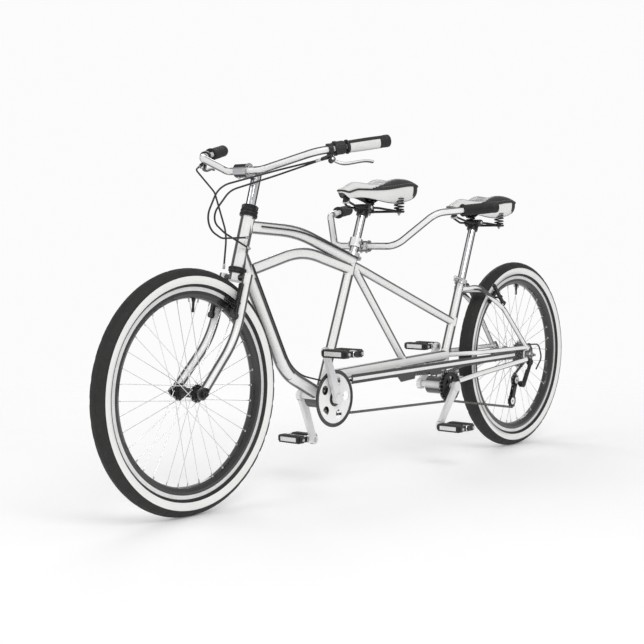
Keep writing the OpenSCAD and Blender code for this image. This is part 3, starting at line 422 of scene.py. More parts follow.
def mat_reflector():
    n = N("pale_reflector")
    v = n.new("ShaderNodeTexVoronoi", feature="DISTANCE_TO_EDGE")
    v.inputs["Scale"].default_value = 420
    n.link(n.tc, v.inputs["Vector"])
    edge = n.ramp(v.outputs["Distance"], [(0.0, 0.0), (0.12, 1.0)])
    n.set("Base Color", n.mix(edge, (0.45, 0.45, 0.44), (0.93, 0.92, 0.90)))
    n.set("Roughness", n.ramp(n.noise(200), [(0.3, 0.08), (0.7, 0.2)]))
    n.set("Coat Weight", 1.0)
    n.set("Normal", n.bump(v.outputs["Distance"], 0.5, 0.0008))
    return n.m


M["reflector"] = mat_reflector()


def mat_rim(name, c):
    n = N(name)
    r, dx, dz, y = radial(n, c)
    ay = n.math("ABSOLUTE", y)
    track = n.math("MULTIPLY", n.math("GREATER_THAN", r, 0.2705), n.math("GREATER_THAN", ay, 0.0146))
    rings = n.new("ShaderNodeTexWave", wave_type="BANDS")
    rings.inputs["Scale"].default_value = 1.0
    rv = n.new("ShaderNodeCombineXYZ")
    n.link(n.math("MULTIPLY", r, 900.0), rv.inputs[0])
    n.link(rv.outputs[0], rings.inputs["Vector"])
    rings.inputs["Distortion"].default_value = 0.6
    worn = n.mix(rings.outputs["Fac"], (0.72, 0.72, 0.73), (0.93, 0.93, 0.93))
    worn = n.mix(n.ramp(n.noise(30, 6), [(0.45, 0.0), (0.8, 0.5)]), worn, (0.55, 0.54, 0.52))
    black = n.mix(n.noise(35, 5), (0.008, 0.008, 0.009), (0.02, 0.02, 0.02))
    n.set("Base Color", n.mix(track, black, worn))
    n.set("Metallic", n.math("MULTIPLY", track, 0.35))
    n.set("Roughness", n.math("ADD", n.math("MULTIPLY", track, 0.12), n.ramp(n.noise(60, 5), [(0.3, 0.20), (0.7, 0.30)])))
    n.set("Coat Weight", n.math("SUBTRACT", 0.5, n.math("MULTIPLY", track, 0.5)))
    n.set("Normal", n.bump(n.math("ADD", n.math("MULTIPLY", track, rings.outputs["Fac"]), n.math("MULTIPLY", n.noise(900), 0.3)), 0.15, 0.0003))
    return n.m


M["front_rim_m"] = mat_rim("rim_front", AXF)
M["rear_rim_m"] = mat_rim("rim_rear", AXR)


def mat_tread():
    n = N("tyre_tread")
    g = n.noise(26, 6, 0.7)
    col = n.mix(n.ramp(g, [(0.35, 0.0), (0.75, 1.0)]), (0.010, 0.010, 0.010), (0.030, 0.029, 0.027))
    speck = n.ramp(n.noise(420, 2), [(0.66, 0.0), (0.74, 0.35)])
    n.set("Base Color", n.mix(speck, col, (0.16, 0.15, 0.14)))
    n.set("Roughness", n.ramp(g, [(0.3, 0.62), (0.7, 0.85)]))
    n.set("Normal", n.bump(n.math("ADD", n.noise(1500, 3), n.math("MULTIPLY", n.noise(220, 3), 0.6)), 0.35, 0.0006))
    return n.m


def mat_whitewall(name, c):
    n = N(name)
    r, dx, dz, y = radial(n, c)
    rv = n.new("ShaderNodeCombineXYZ")
    n.link(n.math("MULTIPLY", r, 520.0), rv.inputs[0])
    w = n.new("ShaderNodeTexWave", wave_type="BANDS")
    w.inputs["Scale"].default_value = 1.0
    n.link(rv.outputs[0], w.inputs["Vector"])
    grime = n.math("MULTIPLY", n.noise(38, 7, 0.7), n.ramp(r, [(0.0, 0.0), (0.301, 0.0), (0.312, 1.0)]))
    col = n.mix(n.ramp(n.noise(12, 5), [(0.3, 0.0), (0.7, 1.0)]), (0.88, 0.875, 0.855), (0.93, 0.925, 0.91))
    col = n.mix(n.ramp(grime, [(0.3, 0.0), (0.8, 0.5)]), col, (0.35, 0.33, 0.31))
    # painted shade: the whitewall darkens to near-black where it turns away from the camera, as a dark outline
    lw = n.new("ShaderNodeLayerWeight")
    lw.inputs["Blend"].default_value = 0.5
    col = n.mix(n.ramp(lw.outputs["Facing"], [(0.50, 0.0), (0.80, 0.92)]), col, (0.03, 0.03, 0.03))
    n.set("Base Color", col)
    n.set("Roughness", n.ramp(n.noise(60, 5), [(0.3, 0.5), (0.7, 0.66)]))
    n.set("Normal", n.bump(n.math("ADD", n.math("MULTIPLY", w.outputs["Fac"], 0.35), n.math("MULTIPLY", n.noise(1400), 0.4)), 0.2, 0.0004))
    return n.m




def mat_disc():
    n = N("guard_disc_face")
    r, dx, dz, y = radial(n, BB1)
    edge = n.math("GREATER_THAN", r, 0.0735)
    hub = n.math("LESS_THAN", r, 0.0235)
    dark = n.math("MAXIMUM", edge, hub)
    white = n.mix(n.noise(24, 5), (0.90, 0.90, 0.89), (0.95, 0.95, 0.94))
    scuff = n.ramp(n.math("MULTIPLY", n.noise(70, 7, 0.75), n.ramp(r, [(0.0, 0.0), (0.06, 0.4), (0.075, 1.0)])), [(0.42, 0.0), (0.62, 0.5)])
    white = n.mix(scuff, white, (0.30, 0.29, 0.28))
    black = n.mix(n.noise(60, 5), (0.008, 0.008, 0.009), (0.03, 0.03, 0.03))
    n.set("Base Color", n.mix(dark, white, black))
    n.set("Roughness", n.ramp(n.noise(50, 5), [(0.3, 0.24), (0.7, 0.38)]))
    n.set("Coat Weight", 0.5)
    n.set("Normal", n.bump(n.noise(700, 3), 0.06, 0.0004))
    return n.m


def mat_cage():
    n = N("derailleur_cage_plates")
    r1, r2 = [radial(n, V((AXR.x + a, 0, z)))[0] for a, z in ((0.048, 0.240), (0.074, 0.168))]
    near = n.math("MINIMUM", r1, r2)
    boss = n.math("MULTIPLY", n.math("LESS_THAN", near, 0.0122), n.math("GREATER_THAN", near, 0.0036))
    pale = n.mix(n.noise(90, 5), (0.80, 0.80, 0.81), (0.90, 0.90, 0.90))
    dark = n.mix(n.noise(70, 5), (0.012, 0.012, 0.013), (0.035, 0.035, 0.036))
    n.set("Base Color", n.mix(boss, dark, pale))
    n.set("Metallic", 0.25)
    n.set("Roughness", n.ramp(n.noise(80, 5), [(0.3, 0.26), (0.7, 0.40)]))
    n.set("Normal", n.bump(n.noise(900, 3), 0.08, 0.0004))
    return n.m


M["cage"] = mat_cage()
M["cluster"] = mat_basic("freewheel_steel", (0.42, 0.42, 0.42), 0.30, metal=0.7, var=0.25, scale=90, bump=0.10, bump_scale=1300, rvar=0.4)
M["disc"] = mat_disc()
M["tread"] = mat_tread()
M["wall_f"] = mat_whitewall("whitewall_front", AXF)
M["wall_r"] = mat_whitewall("whitewall_rear", AXR)
M["bead"] = mat_basic("tyre_bead", (0.012, 0.012, 0.012), 0.55, var=0.3, scale=60, bump=0.2, bump_scale=1500)


def mat_vinyl(name, base, painted_edge_shade):
    n = N(name)
    v = n.new("ShaderNodeTexVoronoi", feature="DISTANCE_TO_EDGE")
    v.inputs["Scale"].default_value = 640
    n.link(n.tc, v.inputs["Vector"])
    grain = n.ramp(v.outputs["Distance"], [(0.0, 0.0), (0.22, 1.0)])
    soft = n.noise(16, 6, 0.6)
    col = n.mix(n.ramp(soft, [(0.35, 0.0), (0.75, 1.0)]), mul(base, 0.93), base)
    col = n.mix(n.math("MULTIPLY", n.math("SUBTRACT", 1.0, grain), 0.22), col, mul(base, 0.55))
    # painted shade: the vinyl darkens to near-black where it turns away from the camera, as a dark outline
    if painted_edge_shade:
        lw = n.new("ShaderNodeLayerWeight")
        lw.inputs["Blend"].default_value = 0.5
        col = n.mix(n.ramp(lw.outputs["Facing"], [(0.50, 0.0), (0.86, painted_edge_shade)]), col, (0.012, 0.012, 0.012))
    n.set("Base Color", col)
    n.set("Roughness", n.ramp(n.noise(40, 5), [(0.3, 0.38), (0.7, 0.52)]))
    n.set("Coat Weight", 0.15)
    h = n.math("ADD", n.math("MULTIPLY", grain, 0.6), n.math("MULTIPLY", n.noise(90, 5), 0.9))
    n.set("Normal", n.bump(h, 0.22, 0.0007))
    return n.m


M["vinyl"] = mat_vinyl("white_vinyl", (0.92, 0.915, 0.90), 0.85)
M["vinyl_black"] = mat_vinyl("black_vinyl", (0.020, 0.020, 0.021), 0.0)
M["thread"] = mat_basic("stitch_thread", (0.55, 0.54, 0.52), 0.7, var=0.2, scale=300, bump=0.4, bump_scale=3000)

# ------------------------------------------------------------------ materials on the CAD nodes
SLOT = {s["node"]: s["material_slot"] for s in frame["record"]["subparts"]}
for name, o in NODES.items():
    m = M.get(SLOT.get(name, "steel"), M["steel"])
    if name == "front_rim":
        m = M["front_rim_m"]
    if name == "rear_rim":
        m = M["rear_rim_m"]
    if name in ("front_spokes", "rear_spokes"):
        m = M["spoke"]
    if name in ("captain_timing_ring", "stoker_timing_ring", "drive_ring", "freewheel"):
        m = M["cluster"] if name == "freewheel" else M["black_steel"]
    if name == "derailleur_cage":
        m = M["cage"]
    if name in ("headset_cups", "headset_races", "front_axle"):
        m = M["black_steel"]
    if name == "stem":
        m = M["chrome"]
    if name == "stoker_bar":
        m = M["stoker_bar_white"]
    if name in ("captain_crank", "stoker_crank"):
        m = M["crank_alloy"]
    if name in ("front_hub", "rear_hub"):
        m = M["black_alloy"]
    if name == "guard_disc":
        m = M["disc"]
    if not o.material_slots:
        o.data.materials.append(m)
    for s in o.material_slots:
        s.material = m


# ------------------------------------------------------------------ mesh helpers
def mesh(name, verts, faces, mats, idx=None, smooth=True):
    me = bpy.data.meshes.new(name)
    me.from_pydata([tuple(v) for v in verts], [], faces)
    for m in mats:
        me.materials.append(m)
    if idx is not None:
        me.polygons.foreach_set("material_index", idx)
    me.polygons.foreach_set("use_smooth", [smooth] * len(me.polygons))
    me.update()
    o = bpy.data.objects.new(name, me)
    coll.objects.link(o)
    return o


class Build:
    """collects geometry for one mesh object"""

    def __init__(self):
        self.v, self.f, self.i, self.mats = [], [], [], []

    def mi(self, m):
        if m not in self.mats:
            self.mats.append(m)
        return self.mats.index(m)

    def add(self, verts, faces, m):
        b, k = len(self.v), self.mi(m) if not isinstance(m, list) else None
        self.v += [V(p) for p in verts]
        for n, f in enumerate(faces):
            self.f.append([b + j for j in f])
            self.i.append(k if k is not None else self.mi(m[n]))

    def tube(self, P, r, m, seg=14, closed=False, cap=True):
        """round tube along the polyline P, r a number or a list"""
        P = [V(p) for p in P]
        n = len(P)
        R = r if isinstance(r, (list, tuple)) else [r] * n
        T = []
        for i in range(n):
            a = P[(i - 1) % n] if closed or i > 0 else P[i]
            b = P[(i + 1) % n] if closed or i < n - 1 else P[i]
            T.append((b - a).normalized())
        ref = V((0, 0, 1)) if abs(T[0].z) < 0.9 else V((1, 0, 0))
        u = T[0].cross(ref).normalized()
        verts = []
        for i in range(n):
            if i:
                ax = T[i - 1].cross(T[i])
                if ax.length > 1e-9:
                    u = Matrix.Rotation(T[i - 1].angle(T[i]), 3, ax.normalized()) @ u
                u = (u - T[i] * u.dot(T[i])).normalized()
            w = T[i].cross(u)
            for k in range(seg):
                a = 2 * math.pi * k / seg
                verts.append(P[i] + (u * math.cos(a) + w * math.sin(a)) * R[i])
        faces = []
        last = n if closed else n - 1
        for i in range(last):
            for k in range(seg):
                a, b = i * seg + k, i * seg + (k + 1) % seg
                c, d = ((i + 1) % n) * seg + (k + 1) % seg, ((i + 1) % n) * seg + k
                faces.append([a, b, c, d])
        if cap and not closed:
            faces.append([k for k in range(seg)][::-1])
            faces.append([(n - 1) * seg + k for k in range(seg)])
        self.add(verts, faces, m)

    def lathe(self, o, axis, prof, m, seg=48, closed=False, ref=None):
        """profile of (distance along axis, radius) turned about the line through o; m may be a list, one per profile span"""
        axis = V(axis).normalized()
        ref = V(ref) if ref is not None else (V((0, 0, 1)) if abs(axis.z) < 0.9 else V((1, 0, 0)))
        u = axis.cross(ref).normalized()
        w = axis.cross(u)
        verts = []
        for (h, r) in prof:
            for k in range(seg):
                a = 2 * math.pi * k / seg
                verts.append(V(o) + axis * h + (u * math.cos(a) + w * math.sin(a)) * r)
        faces, fm = [], []
        n = len(prof)
        for i in range(n if closed else n - 1):
            j = (i + 1) % n
            for k in range(seg):
                l = (k + 1) % seg
                faces.append([i * seg + k, i * seg + l, j * seg + l, j * seg + k])
                fm.append(m[i] if isinstance(m, list) else m)
        self.add(verts, faces, fm)

    def box(self, c, ex, ey, ez, m, bevel=0.0):
        """box with half vectors ex, ey, ez; with bevelled edges"""
        c, ex, ey, ez = V(c), V(ex), V(ey), V(ez)
        lx, ly, lz = ex.length, ey.length, ez.length
        ux, uy, uz = ex / lx, ey / ly, ez / lz
        if bevel <= 0:
            P = [c + ux * lx * a + uy * ly * b + uz * lz * d for a in (-1, 1) for b in (-1, 1) for d in (-1, 1)]
            F = [[0, 1, 3, 2], [4, 6, 7, 5], [0, 4, 5, 1], [2, 3, 7, 6], [0, 2, 6, 4], [1, 5, 7, 3]]
            self.add(P, F, m)
            return
        bv = min(bevel, lx * 0.9, ly * 0.9, lz * 0.9)
        P, id_ = [], {}
        for a in (-1, 1):
            for b in (-1, 1):
                for d in (-1, 1):
                    for k in range(3):
                        q = [lx - bv, ly - bv, lz - bv]
                        q[k] += bv
                        id_[(a, b, d, k)] = len(P)
                        P.append(c + ux * (a * q[0]) + uy * (b * q[1]) + uz * (d * q[2]))
        F = []
        I = lambda a, b, d, k: id_[(a, b, d, k)]
        for s in (-1, 1):
            F.append([I(s, -1, -1, 0), I(s, 1, -1, 0), I(s, 1, 1, 0), I(s, -1, 1, 0)][::s])
            F.append([I(-1, s, -1, 1), I(-1, s, 1, 1), I(1, s, 1, 1), I(1, s, -1, 1)][::s])
            F.append([I(-1, -1, s, 2), I(1, -1, s, 2), I(1, 1, s, 2), I(-1, 1, s, 2)][::s])
        for s in (-1, 1):
            for t in (-1, 1):
                F.append([I(s, t, -1, 0), I(s, t, -1, 1), I(s, t, 1, 1), I(s, t, 1, 0)][::s * t])
                F.append([I(s, -1, t, 0), I(s, 1, t, 0), I(s, 1, t, 2), I(s, -1, t, 2)][::s * t])
                F.append([I(-1, s, t, 1), I(-1, s, t, 2), I(1, s, t, 2), I(1, s, t, 1)][::s * t])
        for a in (-1, 1):
            for b in (-1, 1):
                for d in (-1, 1):
                    F.append([I(a, b, d, 0), I(a, b, d, 1), I(a, b, d, 2)][::a * b * d])
        self.add(P, F, m)

    def make(self, name, body=None, slot=None, replaces=(), sharp=35.0, fix=True):
        me = bpy.data.meshes.new(name)
        me.from_pydata([tuple(v) for v in self.v], [], self.f)
        for m in self.mats:
            me.materials.append(m)
        me.polygons.foreach_set("material_index", self.i)
        me.polygons.foreach_set("use_smooth", [True] * len(me.polygons))
        me.update()
        if fix:
            import bmesh
            bm = bmesh.new()
            bm.from_mesh(me)
            bmesh.ops.recalc_face_normals(bm, faces=bm.faces)
            bm.to_mesh(me)
            bm.free()
        if sharp:
            me.set_sharp_from_angle(angle=math.radians(sharp))
        o = bpy.data.objects.new(name, me)
        coll.objects.link(o)
        if body:
            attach(o, body)
        if replaces:
            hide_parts(*replaces)
        return o


def spline(P, n=10):
    """smooth curve through the points P"""
    P = [V(p) for p in P]
    Q = [P[0] * 2 - P[1]] + P + [P[-1] * 2 - P[-2]]
    out = []
    for i in range(1, len(Q) - 2):
        for k in range(n):
            t = k / n
            a, b, c, d = Q[i - 1], Q[i], Q[i + 1], Q[i + 2]
            out.append(0.5 * ((2 * b) + (c - a) * t + (2 * a - 5 * b + 4 * c - d) * t * t + (3 * b - a - 3 * c + d) * t ** 3))
    out.append(P[-1])
    return out


# ------------------------------------------------------------------ tyres
def tyre(name, c, body, wall, node):
    N_, prof = 480, []
    angs = [-146, -143, -138, -132, -127, -122, -112, -102, -92, -82, -76, -72, -67, -60, -52, -44, -36, -28, -20, -13, -8, -4, 0,
            4, 8, 13, 20, 28, 36, 44, 52, 60, 67, 72, 76, 82, 92, 102, 112, 122, 127, 132, 138, 143, 146]
    n = len(angs)
    verts = []
    for i in range(N_):
        th = 2 * math.pi * i / N_
        for j, a in enumerate(angs):
            r = TR
            aa = abs(a)
            if aa <= 64:
                ph = i % 12
                wob = (abs((i % 24) - 12) - 6) / 6 * 4.5
                g = 0.0
                if 20 - 3 < abs(a - wob * 0.5) < 20 + 4:
                    g = 0.0016
                if aa > 34 and ph in (0, 1, 2):
                    g = 0.0019
                if aa < 15 and (i + int(a / 4)) % 12 in (5, 6):
                    g = 0.0010
                if aa > 58:
                    g *= 0.4
                r -= g
            elif 70 < aa <= 74:
                r -= 0.0009
            elif aa in (127, 132):
                r += 0.0006
            R = WR - TR + r * cos(a)
            verts.append(V((c[0] + R * math.cos(th), r * sin(a), c[2] + R * math.sin(th))))
    # the inside of the shell, so the cut edge has thickness
    inner = [-146, -120, -90, -60, -30, 0, 30, 60, 90, 120, 146]
    base = len(verts)
    for i in range(N_):
        th = 2 * math.pi * i / N_
        for a in inner:
            R = WR - TR + (TR - 0.0032) * cos(a)
            verts.append(V((c[0] + R * math.cos(th), (TR - 0.0032) * sin(a), c[2] + R * math.sin(th))))
    faces, idx = [], []
    for i in range(N_):
        k = (i + 1) % N_
        for j in range(n - 1):
            faces.append([i * n + j, i * n + j + 1, k * n + j + 1, k * n + j])
            mid = abs(angs[j] + angs[j + 1]) / 2
            idx.append(0 if mid < 75 else (1 if mid < 124 else 2))
        m = len(inner)
        for j in range(m - 1):
            faces.append([base + i * m + j, base + k * m + j, base + k * m + j + 1, base + i * m + j + 1])
            idx.append(2)
        for j, s in ((0, 0), (n - 1, m - 1)):
            f = [i * n + j, k * n + j, base + k * m + s, base + i * m + s]
            faces.append(f if j == 0 else f[::-1])
            idx.append(2)
    o = mesh(name, verts, faces, [M["tread"], wall, M["bead"]], idx)
    import bmesh
    bm = bmesh.new()
    bm.from_mesh(o.data)
    bmesh.ops.recalc_face_normals(bm, faces=bm.faces)
    bm.to_mesh(o.data)
    bm.free()
    o.data.set_sharp_from_angle(angle=math.radians(42))
    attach(o, body)
    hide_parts(node)


tyre("front_tyre_shell", AXF, "front_wheel", M["wall_f"], "front_tyre")
tyre("rear_tyre_shell", AXR, "rear_wheel", M["wall_r"], "rear_tyre")


# nipples, valve
def rim_details(name, c, body):
    b = Build()
    for k in range(36):
        a = k * 10.0
        d = V((cos(a), 0, sin(a)))
        s = 1 if (k // 2) % 2 == 0 else -1
        y = s * 0.004
        p = V(c) + V((0, y, 0)) + d * 0.2405
        b.lathe(p, d, [(0, 0.0011), (0.0004, 0.0017), (0.009, 0.0019), (0.0095, 0.0034), (0.0105, 0.0034)], M["brass"], seg=8)
    a = 95.0
    d = V((cos(a), 0, sin(a)))
    p = V(c) + d * 0.213
    b.lathe(p, d, [(0, 0.0), (0, 0.0036), (0.010, 0.0042), (0.012, 0.0034), (0.026, 0.0036), (0.034, 0.0058), (0.0385, 0.0062)], M["grip_rubber"], seg=20)
    b.make(name, body, "steel")


rim_details("front_nipples_valve", AXF, "front_wheel")
rim_details("rear_nipples_valve", AXR, "rear_wheel")


# ------------------------------------------------------------------ saddles
def smooth01(t):
    t = max(0.0, min(1.0, t))
    return t * t * (3 - 2 * t)


def saddle(name, o, body, node):
    half = 0.112
    L = 0.290

    def w_at(u):
        w = 0.017 + (half - 0.017) * max(0.0, (u - 0.22) / 0.78) ** 1.35
        if u > 0.86:
            w *= math.sqrt(max(0.0, 1 - ((u - 0.86) / 0.155) ** 2.6)) * 0.985
        if u < 0.10:
            w *= 0.30 + 0.70 * math.sin(math.pi / 2 * min(1.0, (u + 0.012) / 0.112))
        return w

    def top_at(u):
        z = 0.0355 + 0.0048 * cos(360 * u) + 0.0062 * u
        z += 0.009 * smooth01((u - 0.55) / 0.3)
        z -= 0.008 * smooth01((u - 0.90) / 0.10)
        z -= 0.026 * smooth01((0.27 - u) / 0.27)
        return z

    def bot_at(u):
        return -0.0155 + 0.0185 * u * u + 0.0035 * math.sin(math.pi * u) + 0.017 * smooth01((0.105 - u) / 0.105)

    NU, K = 72, 40
    verts, faces, idx = [], [], []
    us = [0.5 - 0.5 * math.cos(math.pi * i / NU) for i in range(NU + 1)]
    us = [0.35 * a + 0.65 * b for a, b in zip([i / NU for i in range(NU + 1)], us)]
    seam = []
    for i, u in enumerate(us):
        x = 0.145 - L * u
        w, t, b = w_at(u), top_at(u), bot_at(u)
        edge = b + (t - b) * (0.50 + 0.10 * u)      # height of the piped seam
        b -= 0.024 * smooth01((u - 0.26) / 0.50)     # the skirt hangs lower at the back
        mid_z = b + (t - b) * 0.52
        fat = 1.0 if u < 0.74 else 0.26 + 0.74 * math.sqrt(max(0.0, 1 - ((u - 0.74) / 0.26) ** 2))
        t, b, edge = [mid_z + (q - mid_z) * fat for q in (t, b, edge)]
        ring = []
        for k in range(K + 1):                        # over the top, from seam to seam
            s = -1 + 2 * k / K
            c = abs(s)
            y = w * math.copysign(c ** 0.92, s) if s else 0.0
            dome = max(0.0, 1 - c ** 3.2) ** 0.62
            z = edge + (t - edge) * dome
            lobes = 0.0030 * smooth01((u - 0.5) / 0.3) * (math.exp(-((c - 0.52) / 0.28) ** 2) - math.exp(-(c / 0.26) ** 2))
            z += lobes * (1 if u < 0.97 else 0.3)
            ring.append(V((x, y, z)))
        seam.append((V((x, -w, edge)), V((x, w, edge))))
        # the skirt, from the seam down, turned in under the edge
        rear_ = smooth01((u - 0.30) / 0.45)
        down = [(p + (q - p) * rear_, g) for p, q, g in ((1.0, 1.008, 0.80), (1.012, 1.0, 0.56), (1.008, 0.965, 0.33), (0.985, 0.90, 0.15), (0.95, 0.80, 0.04),
                                                         (0.90, 0.70, 0.0), (0.85, 0.60, 0.02))]
        right = [V((x, w * f, b + (edge - b) * g)) for f, g in down]
        left = [V((x, -w * f, b + (edge - b) * g)) for f, g in down]
        verts += left[::-1] + ring + right
    n = K + 1 + 14
    for i in range(NU):
        um = (us[i] + us[i + 1]) / 2
        for j in range(n - 1):
            faces.append([i * n + j, i * n + j + 1, (i + 1) * n + j + 1, (i + 1) * n + j])
            skirt = j < 7 or j >= n - 8
            low = j < 2 or j >= n - 3
            edge_c = abs(-1 + 2 * (j - 7 + 0.5) / K) if not skirt else 1.0
            rear = not skirt and um > 0.36 and edge_c > 1.0 - 0.72 * smooth01((um - 0.36) / 0.50)
            q_ = (6.5 - j if j < 7 else j - (n - 8) + 0.5) / 7
            wrap = skirt and um > 0.868 + 0.028 * q_
            idx.append(1 if (low or rear or wrap) else 0)
    verts = [p + o for p in verts]
    cover = mesh(name + "_cover", verts, faces, [M["vinyl"], M["vinyl_black"]], idx)
    import bmesh
    bm = bmesh.new()
    bm.from_mesh(cover.data)
    # close nose and back
    bm.verts.ensure_lookup_table()
    for row in (0, NU):
        f = bm.faces.new([bm.verts[row * n + j] for j in (range(n) if row else range(n - 1, -1, -1))])
        f.material_index = 1 if row else 0
    # close the underside with the base
    bmesh.ops.remove_doubles(bm, verts=bm.verts, dist=0.00002)
    bmesh.ops.recalc_face_normals(bm, faces=bm.faces)
    bm.to_mesh(cover.data)
    bm.free()
    cover.data.set_sharp_from_angle(angle=math.radians(60))
    sol = cover.modifiers.new("thick", "SOLIDIFY")
    sol.thickness = 0.0018
    sol.offset = -1
    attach(cover, body)
    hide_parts(node)

    # piping along the seam, all round
    b = Build()
    loop = [p[0] + V((0, -0.0006, 0)) for p in seam] + [p[1] + V((0, 0.0006, 0)) for p in seam[::-1]]
    clean = [loop[0]]
    for p in loop[1:]:
        if (p - clean[-1]).length > 0.0022:
            clean.append(p)
    if (clean[0] - clean[-1]).length < 0.0022:
        clean.pop()
    b.tube([p + o for p in clean], 0.0030, M["vinyl_black"], seg=10, closed=True)
    b.make(name + "_piping", body, "saddle_vinyl", sharp=None)

    # two rows of stitches beside the piping, as short thread loops
    b = Build()
    for side in (0, 1):
        P = [p[side] for p in seam if 0.03 < (0.145 - p[0].x) / L < 0.985]
        acc, prev = 0.0, P[0]
        pts = [P[0]]
        for q in P[1:]:
            while (q - prev).length > 0.0058:
                prev = prev + (q - prev).normalized() * 0.0058
                pts.append(prev)
        for a, c in zip(pts, pts[1:]):
            d = (c - a).normalized()
            sgn = -1 if side == 0 else 1
            off = V((0, -sgn * 0.0030, 0.0062))
            a2, c2 = a + d * 0.0012 + off, a + d * 0.0044 + off
            mid = (a2 + c2) / 2 + V((0, sgn * 0.0004, 0.0007))
            b.tube([o + a2, o + mid, o + c2], [0.0003, 0.0005, 0.0003], M["thread"], seg=6)
    b.make(name + "_stitches", body, "saddle_vinyl", sharp=None)

    # moulded base under the cover, dished, with ribs and the two upper spring seats and the nose bracket
    b = Build()
    nb, kb = 40, 12
    vs, fs = [], []
    for i in range(nb + 1):
        u = 0.02 + 0.955 * i / nb
        x = 0.145 - L * u
        w, bt = w_at(u) * 0.90, bot_at(u)
        for k in range(kb + 1):
            s = -1 + 2 * k / kb
            vs.append(o + V((x, w * s, bt + 0.0015 + 0.011 * (1 - s * s) * smooth01(u * 3))))
    for i in range(nb):
        for k in range(kb):
            a = i * (kb + 1) + k
            fs.append([a, a + 1, a + kb + 2, a + kb + 1])
    off = len(vs)
    vs += [p + V((0, 0, 0.003)) for p in vs]
    fs += [[q + off for q in f][::-1] for f in fs]
    rim_ = [k for k in range(kb + 1)] + [i * (kb + 1) + kb for i in range(1, nb + 1)] + [nb * (kb + 1) + k for k in range(kb - 1, -1, -1)] + \
        [i * (kb + 1) for i in range(nb - 1, 0, -1)]
    for a, c in zip(rim_, rim_[1:] + rim_[:1]):
        fs.append([a, c, c + off, a + off])
    b.add(vs, fs, M["black_plastic"])
    for s in (-1, 1):
        c = o + V((-0.078, s * 0.058, -0.0125))
        b.lathe(c, (0, 0, 1), [(-0.0004, 0.0), (-0.0004, 0.0165), (0.0024, 0.0172), (0.0032, 0.0150), (0.0032, 0.009), (0.012, 0.008), (0.020, 0.010)],
                M["black_steel"], seg=28)
        b.lathe(c, (0, 0, -1), [(0.0, 0.0045), (0.003, 0.0045), (0.003, 0.0)], M["steel"], seg=6)
    for x0 in (0.02, -0.02, -0.055):
        u = (0.145 - x0) / L
        w = w_at(u) * 0.62
        b.box(o + V((x0, 0, bot_at(u) + 0.0105)), (0.0013, 0, 0), (0, w, 0), (0, 0, 0.0035), M["black_plastic"], 0.0008)
    b.box(o + V((0.112, 0, -0.018)), (0.012, 0, 0), (0, 0.0055, 0), (0, 0, 0.009), M["black_steel"], 0.002)
    b.make(name + "_base", body, "black_plastic")


saddle("captain_seat_pad", SO1, "captain_saddle", "captain_saddle")
saddle("stoker_seat_pad", SO2, "stoker_saddle", "stoker_saddle")


def saddle_frame(name, p, o, d, body, node):
    b = Build()
    d = V(d).normalized()
    # clamp round the post with its cross bolt and serrated ears
    b.lathe(p, d, [(-0.016, 0.01365), (-0.016, 0.0172), (-0.0145, 0.0186), (0.004, 0.0186), (0.0062, 0.0165), (0.0066, 0.0)], M["black_steel"], seg=40)
    ax = V((0, 1, 0))
    q = V((p.x, 0, p.z + 0.011))
    prof = [(-0.030, 0.0), (-0.030, 0.0065), (-0.0275, 0.0068), (-0.0275, 0.0112)]
    for i in range(7):
        y = -0.0265 + i * 0.0088
        prof += [(y, 0.0118), (y + 0.0030, 0.0118), (y + 0.0036, 0.0104), (y + 0.0080, 0.0104)]
    prof += [(0.0275, 0.0112), (0.0275, 0.0068), (0.030, 0.0065), (0.030, 0.0)]
    b.lathe(q, ax, prof, M["black_steel"], seg=30)
    b.lathe(q + V((0, 0.030, 0)), ax, [(0, 0.0), (0, 0.0062), (0.005, 0.0062), (0.006, 0.0050), (0.006, 0.0)], M["steel"], seg=6)
    b.lathe(q + V((0, -0.030, 0)), -ax, [(0, 0.0), (0, 0.0062), (0.005, 0.0062), (0.006, 0.0050), (0.006, 0.0)], M["steel"], seg=6)
    for m in (1, -1):
        P = [o + V((0.112, m * 0.009, -0.025)), V((p.x + 0.050, m * 0.020, p.z + 0.011)), V((p.x - 0.052, m * 0.020, p.z + 0.011)),
             V((o.x - 0.078, m * 0.058, o.z - 0.051))]
        b.tube(arc_path(P, [0.040, 0.030], 0.004), 0.0035, M["black_steel"], seg=12)
    b.tube([o + V((0.112, -0.012, -0.025)), o + V((0.112, 0.012, -0.025))], 0.005, M["steel"], seg=16)
    b.tube([o + V((-0.078, y, -0.051)) for y in (-0.066, -0.03, 0.0, 0.03, 0.066)], 0.004, M["black_steel"], seg=14)
    for s in (-1, 1):
        c = o + V((-0.078, s * 0.058, -0.053))
        b.lathe(c, (0, 0, 1), [(-0.0022, 0.0), (-0.0022, 0.0145), (0.0, 0.0172), (0.0042, 0.0176), (0.0046, 0.0160), (0.0030, 0.0150), (0.0030, 0.0)],
                M["black_steel"], seg=30)
        b.lathe(c + V((0, 0, -0.002)), (0, 0, -1), [(0.0, 0.0), (0.0, 0.0058), (0.0045, 0.0058), (0.0045, 0.003), (0.0085, 0.003), (0.0085, 0.0)],
                M["steel"], seg=6)
    b.make(name + "_rails", body, "black_steel", replaces=(node,))
    for s, side in ((-1, "right"), (1, "left")):
        c = Build()
        n = 4 * 26
        P = []
        for i in range(n + 1):
            a = 2 * math.pi * i / 26
            r = 0.0132 + 0.0014 * math.sin(math.pi * i / n)
            flat = 0.0344 * smooth01((i / n - 0.0) / 1.0) * 0.35 + 0.0344 * (i / n) * 0.65
            P.append(o + V((-0.078 + r * math.cos(a), s * 0.058 + r * math.sin(a), -0.0468 + flat)))
        c.tube(P, 0.0023, M["black_steel"], seg=10)
        ob = c.make(name + "_coil_" + side, None, "black_steel", sharp=None)
        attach(ob, body)
        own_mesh(ob)


